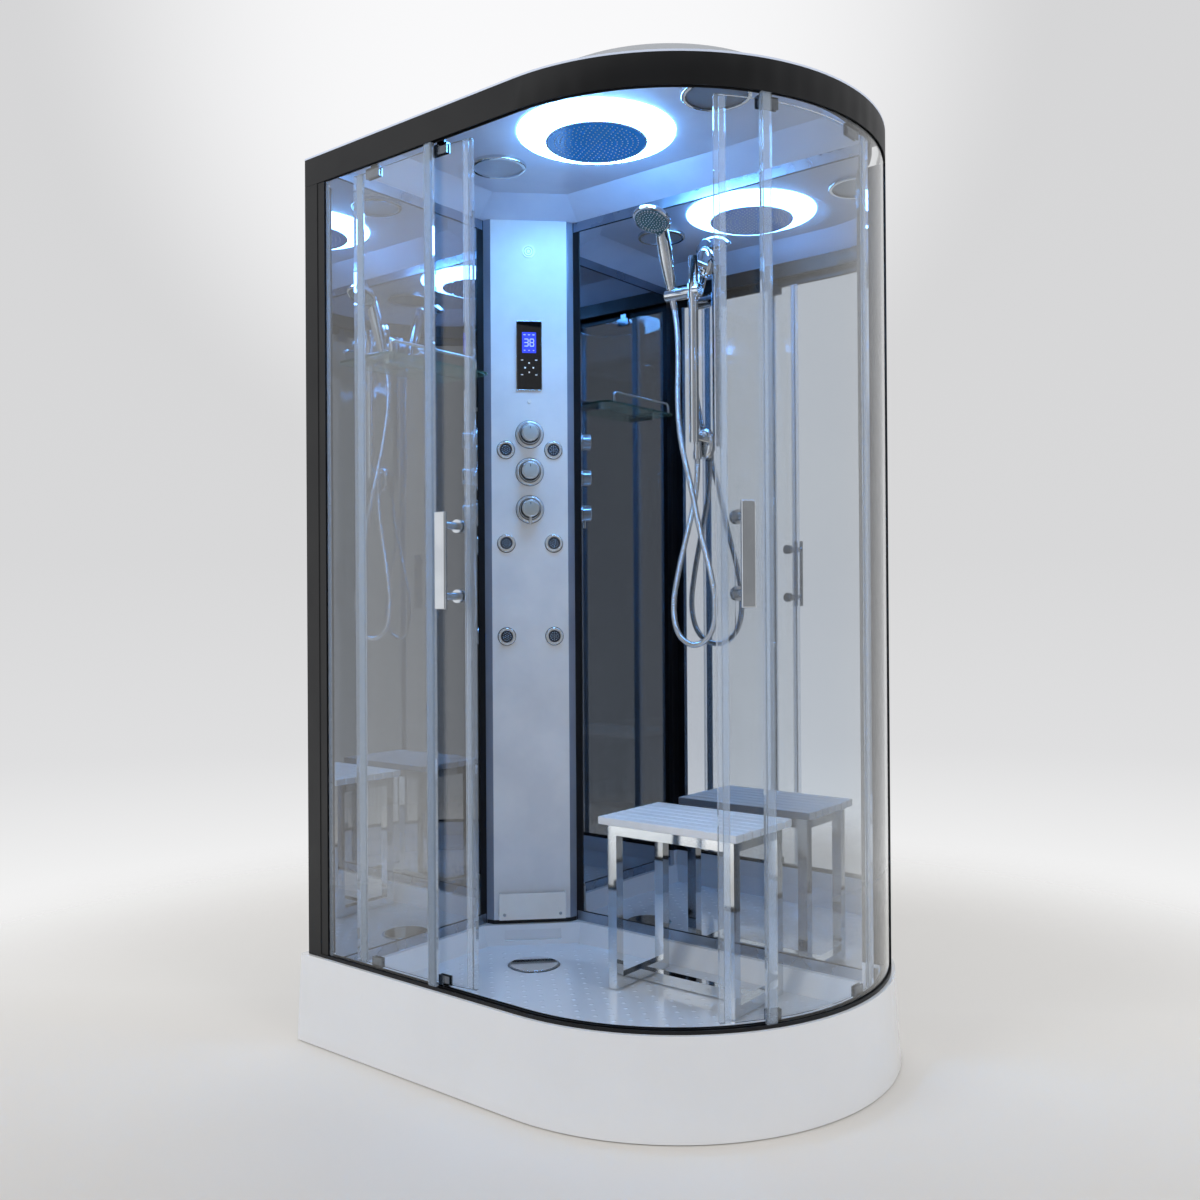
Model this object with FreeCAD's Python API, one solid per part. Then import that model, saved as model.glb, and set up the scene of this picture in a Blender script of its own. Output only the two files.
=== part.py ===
"""Corner steam shower cabin with an offset quadrant tray, a mirror-glass back and two sliding doors.

Millimetres, +Z up. The origin is on the floor under the middle foot, at the middle of the
tray's 1200 x 800 footprint. +X points along the long side, away from the fittings column,
and -Y points out through the doors. The column stands in the back left corner.
Angles on the curved front are counted about the arc's centre, from -Y towards +X.
"""
import FreeCAD, Part
import math
import os

V = FreeCAD.Vector
ORIGIN = V(0, 0, 0)
UP = V(0, 0, 1)
DOWN = V(0, 0, -1)
ROOT2 = math.sqrt(2.0)

# General clearances
GAP = 0.3                    # between pieces that move past each other
RUN = 0.05                   # radial clearance of a turning fit

# Height
CABIN_HEIGHT = 2150.0
ROOF_RISE = 65.0             # of the roof's top above the ceiling
CEILING_RISE = 43.0          # of the ceiling above the frame
RAIL_HEIGHT = 63.0
RAIL_TOP = CABIN_HEIGHT - ROOF_RISE - CEILING_RISE
RAIL_BOTTOM = RAIL_TOP - RAIL_HEIGHT

# Tray
TRAY_LENGTH = 1200.0
TRAY_DEPTH = 800.0
RIM_HEIGHT = 198.0
RIM_WIDTH = 28.0             # from the frame's outer face to the basin
LEDGE_HEIGHT = 150.0         # where the walls and the column stand
FLOOR_HEIGHT = 100.0
TRAY_SHELL = 8.0
TRAY_FLARE = 12.0            # the apron widens towards the floor
APRON_LIFT = 2.0
BASIN_DRAFT = 20.0
DRAIN_X = -320.0
DRAIN_Y = 109.0
DRAIN_RECESS_R = 66.0
DRAIN_RECESS_DEPTH = 12.0
THROAT_R = 44.0
STEP_RECESS_WIDTH = 150.0
STEP_RECESS_HEIGHT = 26.0
STEP_RECESS_DEPTH = 5.0

# Frame of posts and rails
FRAME_INSET = 20.0           # behind the tray's edge, at the front and on the curve
WALL_INSET = 17.0            # inside the tray's edge, at the two walls
FRAME_RADIUS = 504.0
POST_WIDTH = 45.0
PROFILE_WALL = 2.5
TRACK_WIDTH = 24.0
TRACK_HEIGHT = 7.0
RAIL_WIDTH = 45.0
CHANNEL_HEIGHT = 20.0        # how far the fixed glass goes up into the rail
CHANNEL_LENGTH = 24.0        # wing of the left post that holds the fixed glass
LEDGE_START = 29.0           # roller ledge, from the frame's outer face
LIP_HEIGHT = 4.5

# Glass
GLASS = 6.0
FIXED_OFFSET = 7.0           # middle of the fixed glass, from the frame's outer face
DOOR_OFFSET = 23.0           # middle of the door glass
DOOR_BOTTOM = 209.0
DOOR_TOP_GAP = 7.0           # under the rail
FIXED_SHARE = 0.61238        # of the straight front, from the post to the curve
FIXED_RIGHT_START = 57.5     # degrees
STRIP = 22.0                 # closing strip, along the glass
TRAIL_STRIP = 29.0
STRIP_THICK = 10.0

# Doors
MEET_ANGLE = 12.0            # where the closed doors meet, on the curve
LEFT_OVERLAP = 20.0          # of the closed door behind the fixed pane
LEFT_STOP = 7.0              # how far the open door's curve lies behind the fixed pane's end
RIGHT_TRAVEL = 35.0          # degrees
RIGHT_ARC = 50.0             # degrees
MEET_GAP = 0.1               # degrees between the closed strips
HANDLE_ANGLE = 5.0           # from the closing edge
HANDLE_LENGTH = 200.0
HANDLE_MIDDLE = 1096.0
HANDLE_PITCH = 146.0
HANDLE_WIDTH = 28.0
HANDLE_THICK = 8.0
HANDLE_EDGE = 3.0
HANDLE_REACH = 52.0
STANDOFF_R = 8.0
FLANGE_R = 14.0
FLANGE_THICK = 4.0
BOLT_R = 5.0
HANGER_WIDTH = 44.0
HANGER_THICK = 14.0
HANGER_DROP = 18.0
HANGER_PLATE = 3.5
SADDLE_GAP = 0.8             # beside the glass in its saddles, which are straight on the bent panes
HANGER_INSET = 67.0          # of the left door's first hanger, from its trailing end
HANGER_BEYOND = 17.0         # of its second hanger, past the start of the curve
RIGHT_HANGERS = (25.0, 53.0)      # degrees, with the door closed
WHEEL_R = 11.5
GROOVE_R = 9.0
WHEEL_WIDTH = 8.0
GROOVE_WIDTH = 4.5
AXLE_R = 3.0
AXLE_BOSS_R = 4.8
AXLE_CAP = 1.2
GUIDE_WIDTH = 30.0
GUIDE_HEIGHT = 21.0
GUIDE_PIN_R = 3.4

# Mirror-glass walls
WALL_SETBACK = 30.0          # from the frame's outer face to the visible glass face
WALL_GLASS = 6.0
WALL_RAIL = 25.0             # height of the base and head rails
RAIL_PROUD = 1.5
EDGE_STRIP = 20.0
SEAL = 2.5

# Fittings column across the back left corner
COLUMN_FACE = 205.0
COLUMN_CHORD = 245.0
COLUMN_REACH = 178.0         # from the outer corner to the front face
COLUMN_SKIN = 2.5
BASE_TRIM = 10.0
TRIM_THICK = 2.0
KNOB_DROP = 118.5            # of the first knob, below the panel
KNOB_PITCH = 101.0
ESCUTCHEON_R = 37.0
ESCUTCHEON_THICK = 8.0
ESCUTCHEON_RIM = 2.0
KNOB_R = 23.0
KNOB_SKIRT_R = 27.0
KNOB_SKIRT = 12.0
KNOB_LENGTH = 36.0
KNOB_EDGE = 2.5
SKIRT_EDGE = 3.0
SPINDLE_R = 6.0
SPINDLE_DEPTH = 20.0
CARTRIDGE_R = 16.0
LEVER_R = 4.0
LEVER_REACH = 42.0
JET_DROP = 42.0              # of the first jets, below the first knob
JET_PITCH = 251.0
JET_SIDE = 64.0
JET_R = 23.5
JET_OPENING_R = 16.5
JET_THICK = 7.0
JET_EDGE = 3.0
JET_PLATE_R = 16.2
JET_STEM_R = 11.0
JET_STEM = 30.0
PANEL_WIDTH = 69.0
PANEL_HEIGHT = 187.0
PANEL_DROP = 459.5           # of its lower edge, below the frame's top
PANEL_CORNER = 4.0
PANEL_THICK = 5.0
PANEL_BOX = (56.0, 40.0, 160.0)   # housing behind the panel: wide, deep, tall
SCREEN_WIDTH = 38.0
SCREEN_HEIGHT = 56.0
SCREEN_RISE = 100.5          # above the panel's lower edge
SCREEN_THICK = 2.0
BADGE_R = 17.5
BADGE_DROP = 84.0            # below the frame's top
BADGE_THICK = 3.0
BADGE_EDGE = 1.0
SENSOR_R = 5.5
SENSOR_DROP = 29.5           # below the panel
SENSOR_LENGTH = 4.0
STEAM_COVER_WIDTH = 178.0
STEAM_COVER_BOTTOM = 162.0
STEAM_COVER_HEIGHT = 70.0
STEAM_COVER_THICK = 14.0
STEAM_PIPE_R = 11.0
STEAM_PIPE_BEND = 27.5
SCREW_R = 3.5
SCREW_HEAD = 1.5
GENERATOR_WIDTH = 120.0
GENERATOR_DEPTH = 80.0
GENERATOR_TALL = 320.0
GENERATOR_BOTTOM = 270.0
GENERATOR_PAD = 30.0
MANIFOLD = 34.0
MANIFOLD_DEPTH = 40.0        # from the column's face to the manifold's middle
PIPE_R = 7.0
PIPE_BEND = 22.0
INLET_R = 10.48              # G 1/2 thread
INLET_LENGTH = 14.0
INLET_DROP = 262.0           # below the lowest knob
INLET_FLANGE_R = 14.0
INLET_INSET = 30.0           # of the first inlet, from the outer corner
INLET_SPACING = 75.0
GLAND_R = 16.0
GLAND_BORE_R = 8.0
GLAND_LENGTH = 12.0
GLAND_DROP = 142.0           # below the frame's top

# Riser rail, hand shower and hose on the back wall
RISER_X = 46.0
RISER_REACH = 53.0           # from the wall's glass to the bar's axis
RISER_R = 12.0
RISER_DROP = 185.0           # below the frame's top
RISER_LENGTH = 457.0
ARM_R = 9.0
ARM_INSET = 14.0
ROSETTE_WIDTH = 48.0
ROSETTE_HEIGHT = 76.0
ROSETTE_THICK = 12.0
ROSETTE_RIM = 4.0
ROSETTE_SHIFT = 12.0         # the rosettes lie a little above and below the arms
HOLDER_DROP = 85.0           # below the bar's top
HOLDER_R = 15.5
HOLDER_EDGE = 2.0
SLIDER_LENGTH = 42.0
HOLDER_LENGTH = 58.0
HOLDER_HOLE = 63.0           # from the bar's axis to the handle's axis
HOLDER_HOLE_R = 10.3
PIVOT_R = 5.0
PIVOT_LENGTH = 12.0
LEAN = 16.0                  # of the handle, out from the wall
HEAD_TILT = 25.0             # of the spray face, out from straight down
CONE_TOP_R = 12.0
CONE_R = 9.8
CONE_LENGTH = 48.0
CONE_NOSE_R = 8.0
COLLAR = 6.0
GRIP_FOOT_R = 12.0
GRIP_MIDDLE_R = 17.5
GRIP_TOP_R = 14.0
GRIP_MIDDLE = 85.0
GRIP_TOP = 182.0
GRIP_ROUND = 9.0
HEAD_REACH = 186.5           # of the head's middle, along the handle
HEAD_FORWARD = 33.0          # and out from the handle's axis
HEAD_R = 47.0
HEAD_FRONT = 9.0
HEAD_BACK = 22.0
HEAD_LIP = 2.5
HEAD_SHOULDER = 37.0         # radius halfway up the dome behind the rim
HEAD_CROWN = 12.0            # and on its top
SPRAY_R = 40.5
SPRAY_THICK = 3.0
HOSE_R = 7.0
HOSE_NUT_R = 11.0
HOSE_NUT = 20.0
OUTLET_SIDE = -8.0           # of the hose outlet, from the bar
OUTLET_WALL = 27.0           # from the wall's glass
OUTLET_DROP = 38.0           # below the bar
HOSE_START = 45.0            # straight length under the cone
HOSE_FINISH = 69.0           # straight length under the outlet
HOSE_ROUTE = (               # between the two, in X, Y, Z from the outlet
    (-53.0, -4.0, 258.0),
    (-46.0, -20.0, 138.0),
    (-28.0, -32.0, 38.0),
    (6.0, -37.0, -72.0),
    (28.0, -37.0, -177.0),
    (60.0, -37.0, -277.0),
    (74.0, -35.0, -362.0),
    (60.0, -31.0, -434.0),
    (4.0, -24.0, -466.0),
    (-52.0, -18.0, -437.0),
    (-69.0, -14.0, -366.0),
    (-55.0, -10.0, -282.0),
    (-26.0, -4.0, -172.0),
)

# Glass shelf on the left wall
SHELF_DROP = 442.0           # below the frame's top
SHELF_FRONT = -235.0
SHELF_LENGTH = 340.0
SHELF_DEPTH = 98.0
SHELF_CORNER = 18.0
SHELF_CLIP = (46.0, 14.0, 12.0)
SHELF_CLIP_INSET = 40.0
GALLERY_R = 4.0
GALLERY_HEIGHT = 30.0
GALLERY_INSET = 12.0
GALLERY_ENDS = (18.0, 44.0)  # from the shelf's two ends
GALLERY_BEND = 12.0

# Ceiling, lights and roof
CEILING_SKIN = 4.0
COVE = 86.0                  # how far the sloping cornice runs in
ROOF_SKIN = 3.0
ROOF_SLOPE = 190.0
ROOF_EDGE = 8.0
LIGHT_X = -22.0
LIGHT_Y = 7.0
RING_R = 181.0
RING_SKIN = 3.0
RING_DROP = 24.0
LED_R = 150.0
LED_WIDTH = 12.0
LED_THICK = 4.0
RAIN_R = 117.0
RAIN_THICK = 10.0
RAIN_HUB_R = 32.0
RAIN_FEED_R = 10.0
RAIN_FEED = 30.0
DOWNLIGHT_SHARE = 0.5297     # of half the cabin's width, from the ring to the left
SPEAKER_SHARE = 0.5589       # and to the right
DOWNLIGHT_R = 69.0
SPEAKER_R = 76.0
BEZEL_WIDTH = 9.0
BEZEL_THICK = 9.0
BEZEL_EDGE = 3.0
LENS_THICK = 5.0

# Support frame, feet and waste under the tray
TUBE = 25.0
TUBE_HEIGHT = 40.0
FRAME_LEFT = -450.0
FRAME_RIGHT = 300.0
FRAME_SIDE = 230.0
FOOT_R = 22.0
FOOT_PAD = 8.0
STUD_R = 6.0
TRAP_R = 50.0
TRAP_DEPTH = 50.0
TRAP_WALL = 3.0
TRAP_FLANGE_R = 60.0
TRAP_FLANGE = 2.0
WASTE_R = 20.0
WASTE_BORE_R = 18.0
WASTE_LENGTH = 34.0
WASTE_BOSS_R = 23.0
WASTE_DROP = 26.0            # below the trap's top
COVER_R = 60.0
COVER_THICK = 3.0
COVER_LEG_R = 4.0
COVER_LEG_CIRCLE = 50.0

# Stool
STOOL_X = 114.0
STOOL_Y = 186.0
STOOL_HEIGHT = 406.0
SEAT_LENGTH = 380.0
SEAT_DEPTH = 247.0
SEAT_THICK = 18.0
SLATS = 7
SLAT_GAP = 4.0
SLAT_EDGE = 2.0
STOOL_TUBE = 25.0
SEAT_OVERHANG = 17.0
STOOL_PAD = 3.0
STOOL_PAD_R = 9.0

# Worked out from the sizes above
TRAY_R = FRAME_RADIUS + FRAME_INSET
ARC_X = TRAY_LENGTH / 2 - TRAY_R
ARC_Y = TRAY_R - TRAY_DEPTH / 2
LEFT_X = WALL_INSET - TRAY_LENGTH / 2
BACK_Y = TRAY_DEPTH / 2 - WALL_INSET
FRONT_Y = ARC_Y - FRAME_RADIUS
HALF_WIDTH = (ARC_X + FRAME_RADIUS - LEFT_X) / 2
CEILING_HEIGHT = RAIL_TOP + CEILING_RISE
WALL_X = LEFT_X + WALL_SETBACK
WALL_Y = BACK_Y - WALL_SETBACK
POST_X = LEFT_X + POST_WIDTH
POST_FRONT_Y = FRONT_Y + POST_WIDTH
POST_BACK_Y = BACK_Y - POST_WIDTH
RIGHT_POST_X = ARC_X + math.sqrt(FRAME_RADIUS ** 2 - (BACK_Y - ARC_Y) ** 2) - POST_WIDTH
BASIN_R = FRAME_RADIUS - RIM_WIDTH
CHORD_REACH = COLUMN_CHORD / 2 + WALL_SETBACK * ROOT2
COLUMN_LEG = (COLUMN_CHORD / 2 + CHORD_REACH) / ROOT2
CORNER = V(LEFT_X, BACK_Y, 0)
FIXED_LEFT_END = POST_X + FIXED_SHARE * (ARC_X - POST_X)
FIXED_R = FRAME_RADIUS - FIXED_OFFSET
DOOR_R = FRAME_RADIUS - DOOR_OFFSET
WHEEL_Z = RAIL_BOTTOM + CHANNEL_HEIGHT + PROFILE_WALL + LIP_HEIGHT + GAP + GROOVE_R
DOOR_TOP = RAIL_BOTTOM - DOOR_TOP_GAP
PANEL_BOTTOM = RAIL_TOP - PANEL_DROP
SCREEN_BOTTOM = PANEL_BOTTOM + SCREEN_RISE
SENSOR_HEIGHT = PANEL_BOTTOM - SENSOR_DROP
BADGE_HEIGHT = RAIL_TOP - BADGE_DROP
KNOB_HEIGHTS = [PANEL_BOTTOM - KNOB_DROP - i * KNOB_PITCH for i in range(3)]
JET_HEIGHTS = [KNOB_HEIGHTS[0] - JET_DROP - i * JET_PITCH for i in range(3)]
INLET_HEIGHT = KNOB_HEIGHTS[-1] - INLET_DROP
GLAND_HEIGHT = RAIL_TOP - GLAND_DROP
SHELF_HEIGHT = RAIL_TOP - SHELF_DROP
RISER_TOP = RAIL_TOP - RISER_DROP
RISER_BOTTOM = RISER_TOP - RISER_LENGTH
HOLDER_HEIGHT = RISER_TOP - HOLDER_DROP
OUTLET_Z = RISER_BOTTOM - OUTLET_DROP
RISER_Y = WALL_Y - RISER_REACH
HOLDER_AXIS = V(RISER_X - HOLDER_HOLE, RISER_Y, HOLDER_HEIGHT)
HANDLE_DIRECTION = V(0, -math.sin(math.radians(LEAN)), math.cos(math.radians(LEAN)))
SPRAY_DIRECTION = V(0, -math.sin(math.radians(HEAD_TILT)), -math.cos(math.radians(HEAD_TILT)))
LEFT_TRAVEL = ARC_X - FIXED_LEFT_END + LEFT_STOP
RECESS_FLOOR = FLOOR_HEIGHT - DRAIN_RECESS_DEPTH
DRAIN_UNDERSIDE = RECESS_FLOOR - TRAY_SHELL
SEAT_TOP = FLOOR_HEIGHT + STOOL_HEIGHT


# ---- Shapes ----------------------------------------------------------------------------

def box(x0, x1, y0, y1, z0, z1):
    """A block between two corners."""
    return Part.makeBox(x1 - x0, y1 - y0, z1 - z0, V(x0, y0, z0))


def rod(start, direction, radius, length):
    """A round bar."""
    return Part.makeCylinder(radius, length, start, direction)


def ring(start, direction, outer, inner, length):
    """A round tube."""
    return rod(start, direction, outer, length).cut(rod(start, direction, inner, length))


def fuse(shapes):
    """One clean solid made of several that overlap or touch."""
    first, *others = shapes
    return first.multiFuse(others).removeSplitter() if others else first


def line(a, b):
    """A straight edge."""
    return Part.LineSegment(a, b).toShape()


def arc(a, middle, b):
    """A round edge through three points."""
    return Part.Arc(a, middle, b).toShape()


def polygon(points):
    """A closed wire of straight edges."""
    return Part.makePolygon(list(points) + [points[0]])


def prism(wire, height):
    """A flat wire raised to a solid."""
    return Part.Face(wire).extrude(V(0, 0, height))


def loft(low, high):
    """A solid with straight sides between two wires of the same make."""
    return Part.makeLoft([low, high], True, True)


def turned(profile, centre):
    """A solid of revolution about a vertical axis, from (radius, height) points."""
    points = [V(centre.x + r, centre.y, z) for r, z in profile]
    return Part.Face(polygon(points)).revolve(V(centre.x, centre.y, 0), UP, 360)


def on_arc(radius, angle, z=0.0):
    """A point on the curved front."""
    a = math.radians(angle)
    return V(ARC_X + radius * math.sin(a), ARC_Y - radius * math.cos(a), z)


def end_angle(radius, y):
    """Where a circle about the arc's centre reaches y, behind the centre."""
    return math.degrees(math.acos((ARC_Y - y) / radius))


def sector(r0, r1, a0, a1, z0, z1):
    """A curved plate between two radii, two angles and two heights."""
    middle = (a0 + a1) / 2
    wire = Part.Wire([
        arc(on_arc(r0, a0, z0), on_arc(r0, middle, z0), on_arc(r0, a1, z0)),
        line(on_arc(r0, a1, z0), on_arc(r1, a1, z0)),
        arc(on_arc(r1, a1, z0), on_arc(r1, middle, z0), on_arc(r1, a0, z0)),
        line(on_arc(r1, a0, z0), on_arc(r0, a0, z0)),
    ])
    return prism(wire, z1 - z0)


def front_band(d0, d1, z0, z1):
    """A bar that follows the whole front, from the left end round to the back wall.

    d0 and d1 are its distances behind the frame's outer face.
    """
    r0 = FRAME_RADIUS - d0
    r1 = FRAME_RADIUS - d1
    e0 = end_angle(r0, BACK_Y)
    e1 = end_angle(r1, BACK_Y)
    wire = Part.Wire([
        line(V(LEFT_X, FRONT_Y + d0, z0), on_arc(r0, 0, z0)),
        arc(on_arc(r0, 0, z0), on_arc(r0, e0 / 2, z0), on_arc(r0, e0, z0)),
        line(on_arc(r0, e0, z0), on_arc(r1, e1, z0)),
        arc(on_arc(r1, e1, z0), on_arc(r1, e1 / 2, z0), on_arc(r1, 0, z0)),
        line(on_arc(r1, 0, z0), V(LEFT_X, FRONT_Y + d1, z0)),
        line(V(LEFT_X, FRONT_Y + d1, z0), V(LEFT_X, FRONT_Y + d0, z0)),
    ])
    return prism(wire, z1 - z0)


def outline(left, back, radius, z):
    """The cabin's plan: straight left, back and front sides, and the curved right side."""
    front = ARC_Y - radius
    end = end_angle(radius, back)
    return Part.Wire([
        line(V(left, back, z), V(left, front, z)),
        line(V(left, front, z), V(ARC_X, front, z)),
        arc(V(ARC_X, front, z), on_arc(radius, end / 2, z), on_arc(radius, end, z)),
        line(on_arc(radius, end, z), V(left, back, z)),
    ])


def inner_outline(left, back, radius, reach, z):
    """The same plan with the back left corner cut off by the column."""
    front = ARC_Y - radius
    end = end_angle(radius, back)
    column_left = V(left, BACK_Y + (left - LEFT_X) - reach * ROOT2, z)
    column_right = V(LEFT_X + (back - BACK_Y) + reach * ROOT2, back, z)
    return Part.Wire([
        line(column_left, V(left, front, z)),
        line(V(left, front, z), V(ARC_X, front, z)),
        arc(V(ARC_X, front, z), on_arc(radius, end / 2, z), on_arc(radius, end, z)),
        line(on_arc(radius, end, z), column_right),
        line(column_right, column_left),
    ])


def in_column(shape):
    """Places a shape that is drawn facing the column: X across it, -Y out of its face."""
    placed = shape.copy()
    placed.rotate(ORIGIN, UP, 45)
    placed.translate(CORNER)
    return placed


def facing(u, depth, z):
    """A point on the column's drawing, depth in front of its face."""
    return V(u, -(COLUMN_REACH + depth), z)


OUT = V(0, -1, 0)            # out of the column's face, on its drawing


def bent_path(points, radii):
    """Straight runs joined by tangent arcs."""
    edges = []
    start = points[0]
    for before, corner, after, radius in zip(points, points[1:], points[2:], radii):
        back = (before - corner).normalize()
        ahead = (after - corner).normalize()
        half = (math.pi - back.getAngle(ahead)) / 2
        reach = radius * math.tan(half)
        first = corner + back * reach
        last = corner + ahead * reach
        inward = (back + ahead).normalize()
        middle = corner + inward * (radius / math.cos(half) - radius)
        edges.append(line(start, first))
        edges.append(arc(first, middle, last))
        start = last
    edges.append(line(start, points[-1]))
    return Part.Wire(edges)


def tube_along(wire, radius):
    """A round solid along a path."""
    first = wire.Edges[0]
    start = first.valueAt(first.FirstParameter)
    direction = first.tangentAt(first.FirstParameter)
    circle = Part.Wire(Part.makeCircle(radius, start, direction))
    return wire.makePipeShell([circle], True, False)


def bent_rod(points, radius, bend):
    """A bent bar or pipe with the same bend at every corner."""
    return tube_along(bent_path(points, [bend] * (len(points) - 2)), radius)


def rounded(shape, radius, wanted):
    """Rounds the edges that a test picks out."""
    return shape.makeFillet(radius, [edge for edge in shape.Edges if wanted(edge)])


def turned_on_arc(shape, angle):
    """Turns a shape about the arc's centre, as the right door moves."""
    placed = shape.copy()
    placed.rotate(V(ARC_X, ARC_Y, 0), UP, angle)
    return placed


def moved(shape, offset):
    """A shifted copy."""
    placed = shape.copy()
    placed.translate(offset)
    return placed


# ---- Tray and what is under it ---------------------------------------------------------

def basin(grow, floor, top):
    """The basin's hollow, grown by the shell where the underside needs it."""
    def section(inset, z):
        return inner_outline(POST_X + inset, POST_BACK_Y - inset, BASIN_R - inset,
                             COLUMN_REACH + POST_WIDTH - WALL_SETBACK + inset, z)
    return loft(section(BASIN_DRAFT - grow, floor), section(-grow, top))


def ledge_space(grow, floor, top):
    """What is open above the ledge that carries the walls and the column."""
    far = TRAY_LENGTH
    radius = BASIN_R + grow
    y = POST_BACK_Y - grow
    end = end_angle(radius, y)
    points = [V(-far, POST_FRONT_Y - grow, floor), V(POST_X - grow, POST_FRONT_Y - grow, floor),
              V(POST_X - grow, ARC_Y - radius, floor), V(ARC_X, ARC_Y - radius, floor)]
    edges = [line(a, b) for a, b in zip(points, points[1:])]
    edges.append(arc(points[-1], on_arc(radius, end / 2, floor), on_arc(radius, end, floor)))
    points = [on_arc(radius, end, floor), V(RIGHT_POST_X + grow, y, floor),
              V(RIGHT_POST_X + grow, far, floor), V(-far, far, floor), points[0]]
    edges += [line(a, b) for a, b in zip(points, points[1:])]
    return prism(Part.Wire(edges), top - floor)


def make_tray():
    """Moulded tray with its apron, ledge, basin and drain recess, as one thin shell."""
    left = -TRAY_LENGTH / 2
    back = TRAY_DEPTH / 2
    slope = TRAY_FLARE / (RIM_HEIGHT - APRON_LIFT)

    def skin(inset, z):
        radius = TRAY_R - slope * (z - APRON_LIFT) - inset
        return outline(left + inset, back - inset, radius, z)

    body = loft(skin(0, APRON_LIFT), skin(0, RIM_HEIGHT))
    body = body.cut(ledge_space(0, LEDGE_HEIGHT, RIM_HEIGHT + 1))
    body = body.cut(basin(0, FLOOR_HEIGHT, LEDGE_HEIGHT))
    drain = V(DRAIN_X, DRAIN_Y, 0)
    solid_floor = basin(TRAY_SHELL, FLOOR_HEIGHT - TRAY_SHELL, LEDGE_HEIGHT)
    solid_floor = solid_floor.fuse(
        rod(drain + UP * DRAIN_UNDERSIDE, UP, DRAIN_RECESS_R + TRAY_SHELL, FLOOR_HEIGHT - DRAIN_UNDERSIDE))
    under = loft(skin(TRAY_SHELL, 0), skin(TRAY_SHELL, RIM_HEIGHT - TRAY_SHELL))
    under = under.cut(ledge_space(TRAY_SHELL, LEDGE_HEIGHT - TRAY_SHELL, RIM_HEIGHT))
    body = body.cut(under.cut(solid_floor))
    body = body.cut(rod(drain + UP * RECESS_FLOOR, UP, DRAIN_RECESS_R, RIM_HEIGHT))
    body = body.cut(rod(drain, UP, THROAT_R + GAP, RIM_HEIGHT))
    reach = COLUMN_REACH + POST_WIDTH - WALL_SETBACK
    middle = (FLOOR_HEIGHT + LEDGE_HEIGHT) / 2
    half = STEP_RECESS_HEIGHT / 2
    niche = box(-STEP_RECESS_WIDTH / 2, STEP_RECESS_WIDTH / 2,
                -(reach + BASIN_DRAFT), -(reach + BASIN_DRAFT / 2 - STEP_RECESS_DEPTH),
                middle - half, middle + half)
    return [body.cut(in_column(niche))]


def foot_places():
    """Where the feet stand, all under the frame's tubes."""
    places = [V(x, y, 0) for x in (FRAME_LEFT, 0, FRAME_RIGHT) for y in (-FRAME_SIDE, FRAME_SIDE)]
    return places + [V(0, 0, 0), V(FRAME_RIGHT, 0, 0)]


def make_tray_frame():
    """Steel tubes that carry the basin."""
    top = FLOOR_HEIGHT - TRAY_SHELL
    low = top - TUBE_HEIGHT
    half = TUBE / 2
    tubes = [box(FRAME_LEFT - half, FRAME_RIGHT + half, y - half, y + half, low, top)
             for y in (-FRAME_SIDE, FRAME_SIDE)]
    reach = FRAME_SIDE - half
    tubes += [box(x - half, x + half, -reach, reach, low, top) for x in (FRAME_LEFT, 0, FRAME_RIGHT)]
    return tubes


def make_levelling_feet():
    """Screw feet, one solid each."""
    length = FLOOR_HEIGHT - TRAY_SHELL - TUBE_HEIGHT - FOOT_PAD
    return [fuse([rod(place, UP, FOOT_R, FOOT_PAD), rod(place + UP * FOOT_PAD, UP, STUD_R, length)])
            for place in foot_places()]


def make_drain_trap():
    """Trap under the basin with its flange, throat and waste spigot, which points to the front."""
    forward = V(0, -1, 0)
    drain = V(DRAIN_X, DRAIN_Y, 0)
    bottom = DRAIN_UNDERSIDE - TRAP_DEPTH
    flange_top = RECESS_FLOOR + TRAP_FLANGE
    spigot_z = DRAIN_UNDERSIDE - WASTE_DROP
    body = fuse([
        rod(drain + UP * bottom, UP, TRAP_R, TRAP_DEPTH),
        rod(drain + UP * (DRAIN_UNDERSIDE - TRAP_WALL), UP, THROAT_R,
            flange_top - DRAIN_UNDERSIDE + TRAP_WALL),
        rod(drain + UP * RECESS_FLOOR, UP, TRAP_FLANGE_R, TRAP_FLANGE),
        rod(drain + UP * spigot_z, forward, WASTE_R, TRAP_R + WASTE_LENGTH),
        rod(drain + UP * spigot_z, forward, WASTE_BOSS_R, TRAP_R),
    ])
    hollow = fuse([
        rod(drain + UP * (bottom + TRAP_WALL), UP, TRAP_R - TRAP_WALL, TRAP_DEPTH - 2 * TRAP_WALL),
        rod(drain + UP * (bottom + TRAP_WALL), UP, THROAT_R - TRAP_WALL, flange_top - bottom),
        rod(drain + UP * spigot_z, forward, WASTE_BORE_R, TRAP_R + WASTE_LENGTH),
    ])
    return [body.cut(hollow)]


def make_drain_cover():
    """Round cover that lifts off, on four short legs."""
    drain = V(DRAIN_X, DRAIN_Y, 0)
    low = RECESS_FLOOR + TRAP_FLANGE
    disc = rounded(rod(drain + UP * FLOOR_HEIGHT, UP, COVER_R, COVER_THICK), COVER_THICK / 2,
                   lambda edge: edge.BoundBox.ZMin > FLOOR_HEIGHT + COVER_THICK / 2 and edge.Closed)
    legs = []
    for quarter in range(4):
        a = math.radians(45 + 90 * quarter)
        spot = drain + V(COVER_LEG_CIRCLE * math.cos(a), COVER_LEG_CIRCLE * math.sin(a), low)
        legs.append(rod(spot, UP, COVER_LEG_R, FLOOR_HEIGHT - low))
    return [fuse([disc] + legs)]


# ---- Frame -----------------------------------------------------------------------------

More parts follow.
